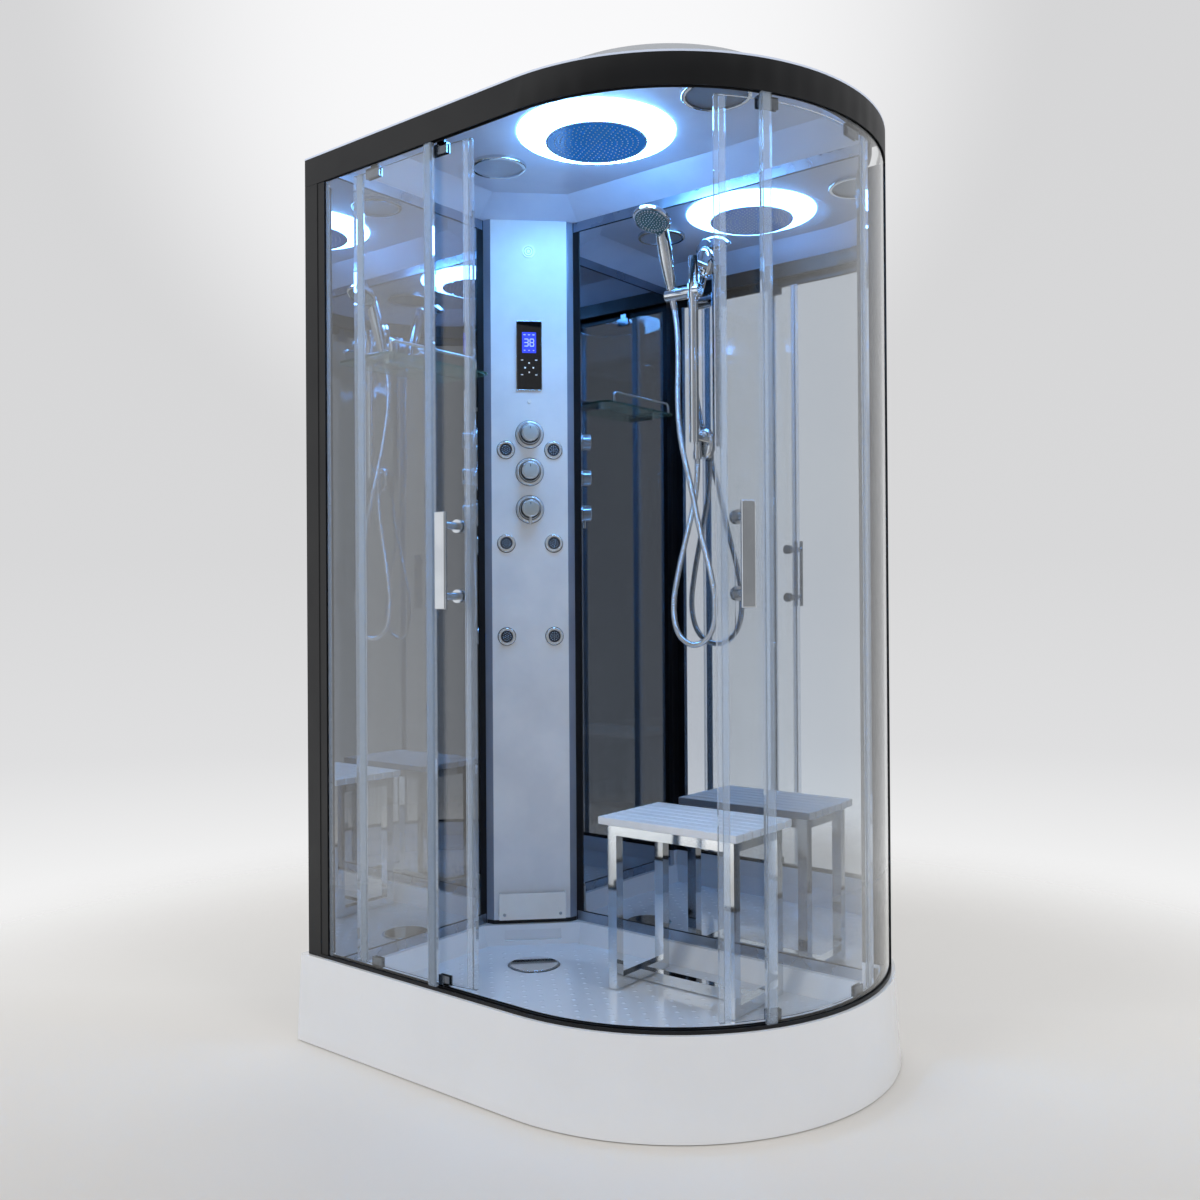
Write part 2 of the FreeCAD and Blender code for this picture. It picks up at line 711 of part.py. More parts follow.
def make_bottom_track():
    """Low track on the rim: a channel for the fixed glass and a groove for the door guides."""
    low = RIM_HEIGHT
    high = RIM_HEIGHT + TRACK_HEIGHT
    channel = FIXED_OFFSET + GLASS / 2 + 1
    track = fuse([
        front_band(0, TRACK_WIDTH, low, low + PROFILE_WALL),
        front_band(0, PROFILE_WALL, low, high),
        front_band(channel, channel + PROFILE_WALL, low, high),
        front_band(TRACK_WIDTH - PROFILE_WALL, TRACK_WIDTH, low, high - 1),
    ])
    track = track.cut(box(LEFT_X, POST_X, FRONT_Y, POST_FRONT_Y, low, high))
    return [track.cut(box(0, TRAY_LENGTH, POST_BACK_Y, BACK_Y, low, high))]


def make_top_rail():
    """Deep rail that holds the fixed glass and carries the rollers on an inner lip."""
    roof = RAIL_BOTTOM + CHANNEL_HEIGHT
    lip = roof + PROFILE_WALL + LIP_HEIGHT
    channel = FIXED_OFFSET + GLASS / 2 + 1
    return [fuse([
        front_band(0, PROFILE_WALL, RAIL_BOTTOM, RAIL_TOP),
        front_band(0, RAIL_WIDTH, RAIL_TOP - PROFILE_WALL, RAIL_TOP),
        front_band(channel, channel + PROFILE_WALL, RAIL_BOTTOM, roof),
        front_band(0, channel + PROFILE_WALL, roof, roof + PROFILE_WALL),
        front_band(RAIL_WIDTH - PROFILE_WALL, RAIL_WIDTH, roof, RAIL_TOP),
        front_band(LEDGE_START, RAIL_WIDTH, roof, roof + PROFILE_WALL),
        front_band(LEDGE_START, LEDGE_START + PROFILE_WALL, roof, lip),
    ])]


def make_posts():
    """The two hollow wall posts. The left one has wings for the fixed glass."""
    low = RIM_HEIGHT
    wall = PROFILE_WALL
    left = box(LEFT_X, POST_X, FRONT_Y, POST_FRONT_Y, low, RAIL_BOTTOM)
    left = left.cut(box(LEFT_X + wall, POST_X - wall, FRONT_Y + wall, POST_FRONT_Y - wall,
                        low, RAIL_BOTTOM))
    outer = FIXED_OFFSET - GLASS / 2
    inner = FIXED_OFFSET + GLASS / 2
    for d0, d1 in ((outer - wall, outer), (inner, inner + wall)):
        left = left.fuse(box(POST_X, POST_X + CHANNEL_LENGTH, FRONT_Y + d0, FRONT_Y + d1,
                             low + TRACK_HEIGHT, RAIL_BOTTOM))
    middle = V(ARC_X, ARC_Y, low)
    block = box(RIGHT_POST_X, TRAY_LENGTH, POST_BACK_Y, BACK_Y, low, RAIL_BOTTOM)
    block = block.common(rod(middle, UP, FRAME_RADIUS, RAIL_BOTTOM - low))
    hollow = box(RIGHT_POST_X + wall, TRAY_LENGTH, POST_BACK_Y + wall, BACK_Y - wall, low, RAIL_BOTTOM)
    hollow = hollow.common(rod(middle, UP, FRAME_RADIUS - wall, RAIL_BOTTOM - low))
    return [left.removeSplitter(), block.cut(hollow)]


def glass_levels():
    """Bottom and top of the fixed glass, in the track and in the rail."""
    return RIM_HEIGHT + PROFILE_WALL, RAIL_BOTTOM + CHANNEL_HEIGHT


def make_fixed_glass():
    """The flat pane at the left and the bent pane at the right."""
    low, high = glass_levels()
    y = FRONT_Y + FIXED_OFFSET
    flat = box(POST_X, FIXED_LEFT_END - STRIP_THICK / 2, y - GLASS / 2, y + GLASS / 2, low, high)
    end = end_angle(FIXED_R, POST_BACK_Y) + 1
    start = FIXED_RIGHT_START + math.degrees(STRIP_THICK / 2 / FIXED_R)
    bent = sector(FIXED_R - GLASS / 2, FIXED_R + GLASS / 2, start, end, low, high)
    return [flat, bent.cut(box(0, TRAY_LENGTH, POST_BACK_Y, TRAY_DEPTH, 0, RAIL_TOP))]


def make_fixed_seals():
    """Clear strips on the free edges of the fixed glass and at the left post."""
    low = RIM_HEIGHT + TRACK_HEIGHT
    glass = make_fixed_glass()
    y = FRONT_Y + FIXED_OFFSET
    half = STRIP_THICK / 2
    flat = box(FIXED_LEFT_END - STRIP, FIXED_LEFT_END, y - half, y + half, low, RAIL_BOTTOM)
    bent = sector(FIXED_R - half, FIXED_R + half, FIXED_RIGHT_START,
                  FIXED_RIGHT_START + math.degrees(STRIP / FIXED_R), low, RAIL_BOTTOM)
    wing = POST_X + CHANNEL_LENGTH
    inner = y + GLASS / 2
    bead = box(wing, wing + STRIP_THICK, inner, inner + PROFILE_WALL, low, RAIL_BOTTOM)
    return [flat.cut(glass[0]), bent.cut(glass[1]), bead]


# ---- Walls -----------------------------------------------------------------------------

def wall_levels():
    """Bottom and top of the mirror-glass panels."""
    return LEDGE_HEIGHT + WALL_RAIL, RAIL_TOP - WALL_RAIL


def make_wall_panel_left():
    """Dark mirror glass behind the flat side."""
    low, high = wall_levels()
    end = BACK_Y - COLUMN_LEG - SEAL - EDGE_STRIP
    return [box(WALL_X - WALL_GLASS, WALL_X, POST_FRONT_Y, end, low, high)]


def make_wall_panel_back():
    """Dark mirror glass along the back."""
    low, high = wall_levels()
    start = LEFT_X + COLUMN_LEG + SEAL + EDGE_STRIP
    return [box(start, RIGHT_POST_X, WALL_Y, WALL_Y + WALL_GLASS, low, high)]


def make_wall_rails():
    """Base rails, head rails and the edge strips beside the column."""
    low, high = wall_levels()
    column_y = BACK_Y - COLUMN_LEG - SEAL
    column_x = LEFT_X + COLUMN_LEG + SEAL
    face_x = WALL_X + RAIL_PROUD
    face_y = WALL_Y - RAIL_PROUD
    parts = [
        box(LEFT_X, face_x, POST_FRONT_Y, column_y, LEDGE_HEIGHT, low),
        box(column_x, RIGHT_POST_X, face_y, BACK_Y, LEDGE_HEIGHT, low),
        box(LEFT_X, face_x, POST_FRONT_Y, column_y, high, RAIL_TOP),
        box(WALL_X - WALL_GLASS, face_x, column_y - EDGE_STRIP, column_y, low, high),
        box(column_x, column_x + EDGE_STRIP, face_y, WALL_Y + WALL_GLASS, low, high),
    ]
    far = ARC_X + FRAME_RADIUS
    head = fuse([box(column_x, far, face_y, BACK_Y, high, RAIL_TOP),
                 box(RIGHT_POST_X, far, face_y, BACK_Y, RAIL_BOTTOM, high)])
    pieces = head.cut(front_band(0, RAIL_WIDTH, RAIL_BOTTOM, RAIL_TOP)).Solids
    parts.append(min(pieces, key=lambda solid: solid.BoundBox.XMin))
    return parts


def make_wall_seals():
    """Dark lines where the glass meets its rails and where the walls meet the column."""
    low, high = wall_levels()
    column_y = BACK_Y - COLUMN_LEG
    column_x = LEFT_X + COLUMN_LEG
    strip_y = column_y - SEAL - EDGE_STRIP
    strip_x = column_x + SEAL + EDGE_STRIP
    parts = [
        box(WALL_X - WALL_GLASS, WALL_X + RAIL_PROUD, column_y - SEAL, column_y, LEDGE_HEIGHT, RAIL_TOP),
        box(column_x, column_x + SEAL, WALL_Y - RAIL_PROUD, WALL_Y + WALL_GLASS, LEDGE_HEIGHT, RAIL_TOP),
    ]
    for z in (low, high - SEAL):
        parts.append(box(WALL_X, WALL_X + RAIL_PROUD, POST_FRONT_Y, strip_y, z, z + SEAL))
        parts.append(box(strip_x, RIGHT_POST_X, WALL_Y - RAIL_PROUD, WALL_Y, z, z + SEAL))
    return parts


# ---- Fittings column -------------------------------------------------------------------

def column_plan(offset=0.0):
    """Corners of the column's plan on its drawing, moved in by an offset."""
    leg = COLUMN_LEG / ROOT2
    face = COLUMN_FACE / 2
    chord = COLUMN_CHORD / 2
    wire = polygon([V(0, 0, 0), V(-leg, -leg, 0), V(-chord, -CHORD_REACH, 0), V(-face, -COLUMN_REACH, 0),
                    V(face, -COLUMN_REACH, 0), V(chord, -CHORD_REACH, 0), V(leg, -leg, 0)])
    return wire.makeOffset2D(-offset, 2) if offset else wire


def column_prism(offset, z0, z1):
    """The column's whole section between two heights, on its drawing."""
    return moved(prism(column_plan(offset), z1 - z0), UP * z0)


def rear_wedge(z0, z1):
    """Everything more than one skin in front of the column's two back faces."""
    apex = -COLUMN_SKIN * ROOT2
    far = COLUMN_LEG * 2
    wedge = prism(polygon([V(0, apex, 0), V(-far, apex - far, 0), V(far, apex - far, 0)]), z1 - z0)
    return moved(wedge, UP * z0)


def column_holes():
    """Openings in the front skin for what comes through it."""
    deep = COLUMN_SKIN * 3
    behind = -COLUMN_SKIN * 2
    holes = [rod(facing(0, behind, z), OUT, CARTRIDGE_R + GAP, deep) for z in KNOB_HEIGHTS]
    holes += [rod(facing(side * JET_SIDE, behind, z), OUT, JET_STEM_R + GAP, deep)
              for side in (-1, 1) for z in JET_HEIGHTS]
    wide, _, tall = PANEL_BOX
    middle = PANEL_BOTTOM + PANEL_HEIGHT / 2
    half = wide / 2 + GAP
    rise = tall / 2 + GAP
    front = -(COLUMN_REACH + COLUMN_SKIN)
    back = -(COLUMN_REACH - 2 * COLUMN_SKIN)
    holes.append(box(-half, half, front, back, middle - rise, middle + rise))
    steam = facing(0, behind, STEAM_COVER_BOTTOM + STEAM_COVER_HEIGHT / 2)
    holes.append(rod(steam, OUT, STEAM_PIPE_R + GAP, deep))
    return holes


def make_tower_column():
    """Folded front casing of the column."""
    skin = column_prism(0, LEDGE_HEIGHT, RAIL_TOP).common(rear_wedge(LEDGE_HEIGHT, RAIL_TOP))
    skin = skin.cut(column_prism(COLUMN_SKIN, LEDGE_HEIGHT - 1, RAIL_TOP + 1))
    for hole in column_holes():
        skin = skin.cut(hole)
    return [in_column(skin)]


def inlet_places():
    """Where the two water inlets pass the rear cover, on the back of the cabin."""
    return [V(LEFT_X + INLET_INSET + i * INLET_SPACING, BACK_Y, INLET_HEIGHT) for i in range(2)]


def gland_place():
    """Where the mains cable passes the rear cover."""
    return V(LEFT_X + COLUMN_LEG / 2, BACK_Y, GLAND_HEIGHT)


def make_tower_rear_cover():
    """Two flat sheets on the outer sides. The back one has the inlets' holes and the cable gland."""
    cover = column_prism(0, LEDGE_HEIGHT, RAIL_TOP).cut(rear_wedge(LEDGE_HEIGHT - 1, RAIL_TOP + 1))
    cover = in_column(cover)
    behind = box(LEFT_X, LEFT_X + TRAY_LENGTH, BACK_Y - COLUMN_SKIN, BACK_Y, LEDGE_HEIGHT, RAIL_TOP)
    beside = cover.cut(behind)
    cover = cover.common(behind)
    back = V(0, 1, 0)
    for place in inlet_places():
        cover = cover.cut(rod(place - back * COLUMN_SKIN * 2, back, INLET_FLANGE_R + GAP, COLUMN_SKIN * 3))
    place = gland_place()
    cover = cover.fuse(rod(place - back * COLUMN_SKIN, back, GLAND_R, GLAND_LENGTH + COLUMN_SKIN))
    cover = cover.cut(rod(place - back * COLUMN_SKIN * 2, back, GLAND_BORE_R, GLAND_LENGTH + COLUMN_SKIN * 3))
    return [beside, cover.removeSplitter()]


def make_tower_base_trim():
    """Dark strip along the foot of the column's face and bevels."""
    strip = column_prism(-TRIM_THICK, LEDGE_HEIGHT, LEDGE_HEIGHT + BASE_TRIM).cut(
        column_prism(0, LEDGE_HEIGHT - 1, RAIL_TOP))
    half = COLUMN_CHORD / 2 - TRIM_THICK
    near = -(CHORD_REACH + TRIM_THICK)
    return [in_column(strip.common(box(-half, half, -COLUMN_REACH * 2, near, 0, RAIL_TOP)))]


def make_steam_outlet_cover():
    """Shallow cover over the steam outlet, open at its top edge, with two screws."""
    half = STEAM_COVER_WIDTH / 2
    low = STEAM_COVER_BOTTOM
    high = low + STEAM_COVER_HEIGHT
    near = -COLUMN_REACH
    far = -(COLUMN_REACH + STEAM_COVER_THICK)
    skin = COLUMN_SKIN
    cover = box(-half, half, far, near, low, high)
    cover = cover.cut(box(-half + skin, half - skin, far + skin, near, low + skin, high))
    screws = []
    for side in (-1, 1):
        spot = V(side * (half - 4 * SCREW_R), near, low + 4 * SCREW_R)
        cover = cover.fuse(rod(spot, OUT, SCREW_R * 2, STEAM_COVER_THICK - skin))
        screws.append(rod(spot + OUT * STEAM_COVER_THICK, OUT, SCREW_R, SCREW_HEAD))
    return [in_column(cover.removeSplitter())] + [in_column(screw) for screw in screws]


def make_steam_generator():
    """Boiler inside the column, with the pipe to the steam outlet."""
    wide, deep, tall = GENERATOR_WIDTH, GENERATOR_DEPTH, GENERATOR_TALL
    low = GENERATOR_BOTTOM
    front = -(COLUMN_REACH - 2 * COLUMN_SKIN)
    tank = box(-wide / 2, wide / 2, front, front + deep, low, low + tall)
    outlet = STEAM_COVER_BOTTOM + STEAM_COVER_HEIGHT / 2
    middle = front + deep / 2
    pipe = bent_rod([V(0, middle, low + 1), V(0, middle, outlet), facing(0, 1, outlet)],
                    STEAM_PIPE_R, STEAM_PIPE_BEND)
    skin = COLUMN_SKIN - COLUMN_REACH
    pads = [box(-wide / 4, wide / 4, skin, front, z, z + GENERATOR_PAD)
            for z in (low + GENERATOR_PAD, low + tall - 2 * GENERATOR_PAD)]
    return [in_column(fuse([tank, pipe] + pads))]


def make_control_panel():
    """Touch panel with its housing, which passes the skin."""
    wide, deep, tall = PANEL_BOX
    middle = PANEL_BOTTOM + PANEL_HEIGHT / 2
    half = PANEL_WIDTH / 2
    plate = box(-half, half, -(COLUMN_REACH + PANEL_THICK), -COLUMN_REACH,
                PANEL_BOTTOM, PANEL_BOTTOM + PANEL_HEIGHT)
    plate = rounded(plate, PANEL_CORNER, lambda edge: edge.Length < PANEL_THICK + 1
                    and abs(edge.tangentAt(0).y) > 0.9)
    housing = box(-wide / 2, wide / 2, -COLUMN_REACH, -(COLUMN_REACH - deep),
                  middle - tall / 2, middle + tall / 2)
    recess = screen_block(0.0)
    return [in_column(fuse([plate, housing]).cut(recess))]


def screen_block(inset):
    """The display glass, on the column's drawing."""
    half = SCREEN_WIDTH / 2 - inset
    front = -(COLUMN_REACH + PANEL_THICK)
    return box(-half, half, front, front + SCREEN_THICK,
               SCREEN_BOTTOM + inset, SCREEN_BOTTOM + SCREEN_HEIGHT - inset)


def make_control_screen():
    """Display glass in its recess."""
    return [in_column(screen_block(0.1))]


def make_tower_badge():
    """Plain round disc and, below the panel, the temperature sensor."""
    badge = rounded(rod(facing(0, 0, BADGE_HEIGHT), OUT, BADGE_R, BADGE_THICK), BADGE_EDGE,
                    lambda edge: edge.Closed and edge.BoundBox.YMax < -(COLUMN_REACH + BADGE_THICK / 2))
    sensor = rod(facing(0, 0, SENSOR_HEIGHT), OUT, SENSOR_R, SENSOR_LENGTH)
    return [in_column(badge), in_column(sensor)]


def make_valve_manifold():
    """Brass body behind the skin with three cartridges and their spindles."""
    half = MANIFOLD / 2
    middle = -(COLUMN_REACH - MANIFOLD_DEPTH)
    low = min(KNOB_HEIGHTS) - MANIFOLD
    high = max(KNOB_HEIGHTS) + MANIFOLD
    parts = [box(-half, half, middle - half, middle + half, low, high)]
    for z in KNOB_HEIGHTS:
        start = V(0, middle, z)
        parts.append(rod(start, OUT, CARTRIDGE_R, MANIFOLD_DEPTH + ESCUTCHEON_THICK / 2))
        parts.append(rod(start, OUT, SPINDLE_R, MANIFOLD_DEPTH + ESCUTCHEON_THICK + SPINDLE_DEPTH))
    return [in_column(fuse(parts))]


def make_valve_escutcheons():
    """Three round plates behind the knobs, domed at the edge."""
    plates = []
    for z in KNOB_HEIGHTS:
        plate = rod(facing(0, 0, z), OUT, ESCUTCHEON_R, ESCUTCHEON_THICK)
        plate = rounded(plate, ESCUTCHEON_THICK - ESCUTCHEON_RIM, lambda edge: edge.Closed
                        and edge.BoundBox.YMax < -(COLUMN_REACH + ESCUTCHEON_THICK / 2))
        plate = plate.cut(rod(facing(0, -1, z), OUT, CARTRIDGE_R + GAP, ESCUTCHEON_THICK / 2 + 1 + GAP))
        plate = plate.cut(rod(facing(0, -1, z), OUT, SPINDLE_R + GAP, ESCUTCHEON_THICK + 2))
        plates.append(in_column(plate))
    return plates


def knob(z, lever=False):
    """A knob on its spindle: a skirt, a drum and, on the diverter, a pin lever."""
    base = ESCUTCHEON_THICK + GAP
    drum = rod(facing(0, base, z), OUT, KNOB_R, KNOB_LENGTH)
    drum = rounded(drum, KNOB_EDGE, lambda edge: edge.Closed
                   and edge.BoundBox.YMax < -(COLUMN_REACH + KNOB_LENGTH))
    skirt = rod(facing(0, base, z), OUT, KNOB_SKIRT_R, KNOB_SKIRT)
    skirt = rounded(skirt, SKIRT_EDGE, lambda edge: edge.Closed
                    and edge.BoundBox.YMax < -(COLUMN_REACH + base + KNOB_SKIRT / 2))
    body = fuse([drum, skirt])
    solids = [body.cut(rod(facing(0, base - 1, z), OUT, SPINDLE_R + RUN, SPINDLE_DEPTH + 1))]
    if lever:
        pin = rod(facing(0, base + KNOB_LENGTH / 2, z), DOWN, LEVER_R, LEVER_REACH)
        solids.append(pin.cut(rod(facing(0, base, z), OUT, KNOB_R, KNOB_LENGTH)))
    return [in_column(solid) for solid in solids]


def jet_places():
    """Where the six body jets sit on the face."""
    return [(side * JET_SIDE, z) for side in (-1, 1) for z in JET_HEIGHTS]


def make_jet_rings():
    """Polished rings of the body jets."""
    rings = []
    for u, z in jet_places():
        body = rod(facing(u, 0, z), OUT, JET_R, JET_THICK)
        body = rounded(body, JET_EDGE, lambda edge: edge.Closed
                       and edge.BoundBox.YMax < -(COLUMN_REACH + JET_THICK / 2))
        rings.append(in_column(body.cut(rod(facing(u, -1, z), OUT, JET_OPENING_R, JET_THICK + 2))))
    return rings


def make_jet_spray_plates():
    """Dark spray inserts with their stems."""
    return [in_column(fuse([rod(facing(u, 0, z), OUT, JET_PLATE_R, JET_THICK - 2),
                            rod(facing(u, -JET_STEM, z), OUT, JET_STEM_R, JET_STEM)]))
            for u, z in jet_places()]


def make_supply_pipes():
    """Pipes from the inlets to the manifold and on to the jets, and the threaded inlet tails."""
    depth = -(JET_STEM + PIPE_R)
    manifold_side = MANIFOLD / 2
    parts = []
    top = max(JET_HEIGHTS)
    link = KNOB_HEIGHTS[0] - (KNOB_HEIGHTS[0] - KNOB_HEIGHTS[1]) / 2
    for side in (-1, 1):
        low = facing(side * JET_SIDE, depth, min(JET_HEIGHTS) - JET_STEM_R)
        high = facing(side * JET_SIDE, depth, top + JET_STEM_R)
        feed = rod(facing(side * JET_SIDE, depth, link), V(-side, 0, 0), PIPE_R, JET_SIDE - manifold_side)
        parts.append(in_column(fuse([rod(low, UP, PIPE_R, (high - low).Length), feed])))
    for i, place in enumerate(inlet_places()):
        side = 2 * i - 1
        tail = rod(place, V(0, 1, 0), INLET_R, INLET_LENGTH)
        flange = rod(place - V(0, COLUMN_SKIN * 4, 0), V(0, 1, 0), INLET_FLANGE_R, COLUMN_SKIN * 4)
        bend_from = place - V(0, COLUMN_SKIN * 4 - 1, 0)
        base = in_column(rod(facing(side * MANIFOLD / 4, -MANIFOLD_DEPTH, min(KNOB_HEIGHTS) - MANIFOLD),
                             DOWN, PIPE_R, 1)).CenterOfMass
        inside = V(place.x, base.y, INLET_HEIGHT)
        rise = V(base.x, base.y, INLET_HEIGHT + 2 * PIPE_BEND)
        parts.append(fuse([tail, flange, bent_rod([bend_from, inside, rise,
                                           V(base.x, base.y, min(KNOB_HEIGHTS) - MANIFOLD)],
                                          PIPE_R, PIPE_BEND)]))
    return parts


# ---- Riser rail, hand shower and hose --------------------------------------------------

def make_riser_bar():
    """Round bar that the slider runs on."""
    return [rod(V(RISER_X, RISER_Y, RISER_BOTTOM), UP, RISER_R, RISER_TOP - RISER_BOTTOM)]


def bracket(arm_z, rosette_z):
    """A domed oval rosette on the wall with an arm that takes the bar's end."""
    plate = rod(V(0, 0, 0), OUT, ROSETTE_WIDTH / 2, ROSETTE_THICK)
    plate = rounded(plate, ROSETTE_THICK - ROSETTE_RIM, lambda edge: edge.Closed
                    and edge.BoundBox.YMax < -ROSETTE_THICK / 2)
    stretch = FreeCAD.Matrix()
    stretch.scale(V(1, 1, ROSETTE_HEIGHT / ROSETTE_WIDTH))
    plate = moved(plate.transformGeometry(stretch), V(RISER_X, WALL_Y, rosette_z))
    arm = rod(V(RISER_X, WALL_Y - 1, arm_z), OUT, ARM_R, RISER_REACH - 1)
    return [plate, arm]


def make_riser_brackets():
    """Upper and lower brackets. The lower one holds the hose outlet and its nut."""
    bar = make_riser_bar()[0]
    top_arm = RISER_TOP - ARM_INSET
    low_arm = RISER_BOTTOM + ARM_INSET
    upper = fuse(bracket(top_arm, top_arm + ROSETTE_SHIFT)).cut(bar)
    outlet = outlet_point()
    spout = rod(V(outlet.x, outlet.y, OUTLET_Z + HOSE_NUT), UP, ARM_R, low_arm - OUTLET_Z - HOSE_NUT)
    lower = fuse(bracket(low_arm, low_arm - ROSETTE_SHIFT) + [spout]).cut(bar)
    nut = rod(outlet, UP, HOSE_NUT_R, HOSE_NUT)
    return [upper, lower, nut]


def outlet_point():
    """Where the hose meets its nut on the wall."""
    return V(RISER_X + OUTLET_SIDE, WALL_Y - OUTLET_WALL, OUTLET_Z)


def make_slider():
    """Clamp on the bar with the pin that the holder turns on."""
    start = RISER_X - SLIDER_LENGTH / 2
    across = V(1, 0, 0)
    body = rod(V(start, RISER_Y, HOLDER_HEIGHT), across, HOLDER_R, SLIDER_LENGTH)
    body = rounded(body, HOLDER_EDGE, lambda edge: edge.Closed and edge.BoundBox.XMin > RISER_X)
    collar = rod(V(RISER_X, RISER_Y, HOLDER_HEIGHT - HOLDER_R - 2), UP, RISER_R + 4, 2 * HOLDER_R + 4)
    pin = rod(V(start - PIVOT_LENGTH, RISER_Y, HOLDER_HEIGHT), across, PIVOT_R, PIVOT_LENGTH)
    bore = rod(V(RISER_X, RISER_Y, 0), UP, RISER_R + RUN, RISER_TOP * 2)
    return [fuse([body, collar, pin]).cut(bore)]


def make_shower_holder():
    """Round holder beside the slider, with the hole for the hand shower."""
    end = RISER_X - SLIDER_LENGTH / 2 - GAP
    start = V(end - HOLDER_LENGTH, RISER_Y, HOLDER_HEIGHT)
    across = V(1, 0, 0)
    body = rod(start, across, HOLDER_R, HOLDER_LENGTH)
    body = rounded(body, HOLDER_EDGE, lambda edge: edge.Closed and edge.BoundBox.XMax < start.x + 1)
    hole_start = HOLDER_AXIS - HANDLE_DIRECTION * HOLDER_R * 2
    body = body.cut(rod(hole_start, HANDLE_DIRECTION, HOLDER_HOLE_R, HOLDER_R * 4))
    bore = rod(V(end - PIVOT_LENGTH - GAP, RISER_Y, HOLDER_HEIGHT), across, PIVOT_R + RUN, PIVOT_LENGTH + 1)
    return [body.cut(bore)]


def along_handle(distance):
    """A point on the handle's axis, from the middle of the holder."""
    return HOLDER_AXIS + HANDLE_DIRECTION * distance


def head_centre():
    """Middle of the hand shower's head."""
    lean = math.radians(LEAN)
    return along_handle(HEAD_REACH) - V(0, math.cos(lean), math.sin(lean)) * HEAD_FORWARD


def cone_end():
    """Where the hose meets the cone under the holder."""
    return along_handle(HOLDER_R + GAP - CONE_LENGTH)


def make_hand_shower():
    """Shell of handle and head, and the hose's cone that drops into the holder."""
    seat = HOLDER_R + GAP
    foot = seat + COLLAR
    foot_r, middle_r, top_r = GRIP_FOOT_R, GRIP_MIDDLE_R, GRIP_TOP_R
    profile = Part.Wire([
        line(V(0, 0, foot), V(foot_r, 0, foot)),
        arc(V(foot_r, 0, foot), V(middle_r, 0, GRIP_MIDDLE), V(top_r, 0, GRIP_TOP)),
        line(V(top_r, 0, GRIP_TOP), V(0, 0, GRIP_TOP)),
        line(V(0, 0, GRIP_TOP), V(0, 0, foot)),
    ])
    grip = Part.Face(profile).revolve(ORIGIN, UP, 360)
    grip = rounded(grip, GRIP_ROUND, lambda edge: edge.Closed and edge.BoundBox.ZMin > GRIP_TOP - 1)
    grip.rotate(ORIGIN, V(1, 0, 0), LEAN)
    grip = moved(grip, HOLDER_AXIS)
    seat_z = SPRAY_THICK - HEAD_FRONT
    corners = [V(0, 0, seat_z), V(SPRAY_R, 0, seat_z), V(SPRAY_R, 0, -HEAD_FRONT),
               V(HEAD_R - HEAD_LIP, 0, -HEAD_FRONT), V(HEAD_R, 0, HEAD_LIP - HEAD_FRONT), V(HEAD_R, 0, 0)]
    outline = [line(a, b) for a, b in zip(corners, corners[1:])]
    outline += [
        arc(V(HEAD_R, 0, 0), V(HEAD_SHOULDER, 0, HEAD_BACK / 2), V(HEAD_CROWN, 0, HEAD_BACK)),
        line(V(HEAD_CROWN, 0, HEAD_BACK), V(0, 0, HEAD_BACK)),
        line(V(0, 0, HEAD_BACK), V(0, 0, seat_z)),
    ]
    head = Part.Face(Part.Wire(outline)).revolve(ORIGIN, UP, 360)
    head.rotate(ORIGIN, V(1, 0, 0), -HEAD_TILT)
    shell = fuse([grip, moved(head, head_centre())])
    shell = shell.cut(rod(head_centre() + SPRAY_DIRECTION * (HEAD_FRONT - SPRAY_THICK), SPRAY_DIRECTION,
                          SPRAY_R, HEAD_R))
    collar = rod(along_handle(seat), HANDLE_DIRECTION, CONE_TOP_R, COLLAR)
    stem = Part.makeCone(CONE_NOSE_R, CONE_R, CONE_LENGTH, cone_end(), HANDLE_DIRECTION)
    return [shell, fuse([collar, stem])]


def make_spray_face():
    """Spray plate set into the head."""
    start = head_centre() + SPRAY_DIRECTION * (HEAD_FRONT - SPRAY_THICK)
    return [rod(start, SPRAY_DIRECTION, SPRAY_R - 0.1, SPRAY_THICK)]


def make_shower_hose():
    """Hanging hose between the cone and the outlet, as runs and tangent arcs."""
    points = [cone_end(), cone_end() - HANDLE_DIRECTION * HOSE_START]
    points += [outlet_point() + V(*offset) for offset in HOSE_ROUTE]
    points += [outlet_point() + DOWN * HOSE_FINISH, outlet_point()]
    radii = []
    for before, corner, after in zip(points, points[1:], points[2:]):
        back = before - corner
        ahead = after - corner
        half = (math.pi - back.getAngle(ahead)) / 2
        radii.append(0.45 * min(back.Length, ahead.Length) / math.tan(half))
    path = bent_path(points, radii)
    hose = tube_along(path, HOSE_R)
    print("hose runs", [round((b - a).Length) for a, b in zip(points, points[1:])])
    print("hose bend radii", [round(radius) for radius in radii])
    print("hose length", round(path.Length, 1), "volume", round(hose.Volume, 1),
          "section x length", round(math.pi * HOSE_R ** 2 * path.Length, 1))
    return [hose]


# ---- Shelf -----------------------------------------------------------------------------

def make_shelf_glass():
    """Clear shelf with rounded front corners."""
    plate = box(WALL_X, WALL_X + SHELF_DEPTH, SHELF_FRONT, SHELF_FRONT + SHELF_LENGTH,
                SHELF_HEIGHT, SHELF_HEIGHT + GLASS)
    edge_x = WALL_X + SHELF_DEPTH
    return [rounded(plate, SHELF_CORNER, lambda edge: abs(edge.Length - GLASS) < 0.01
                    and edge.BoundBox.XMin > edge_x - 1)]


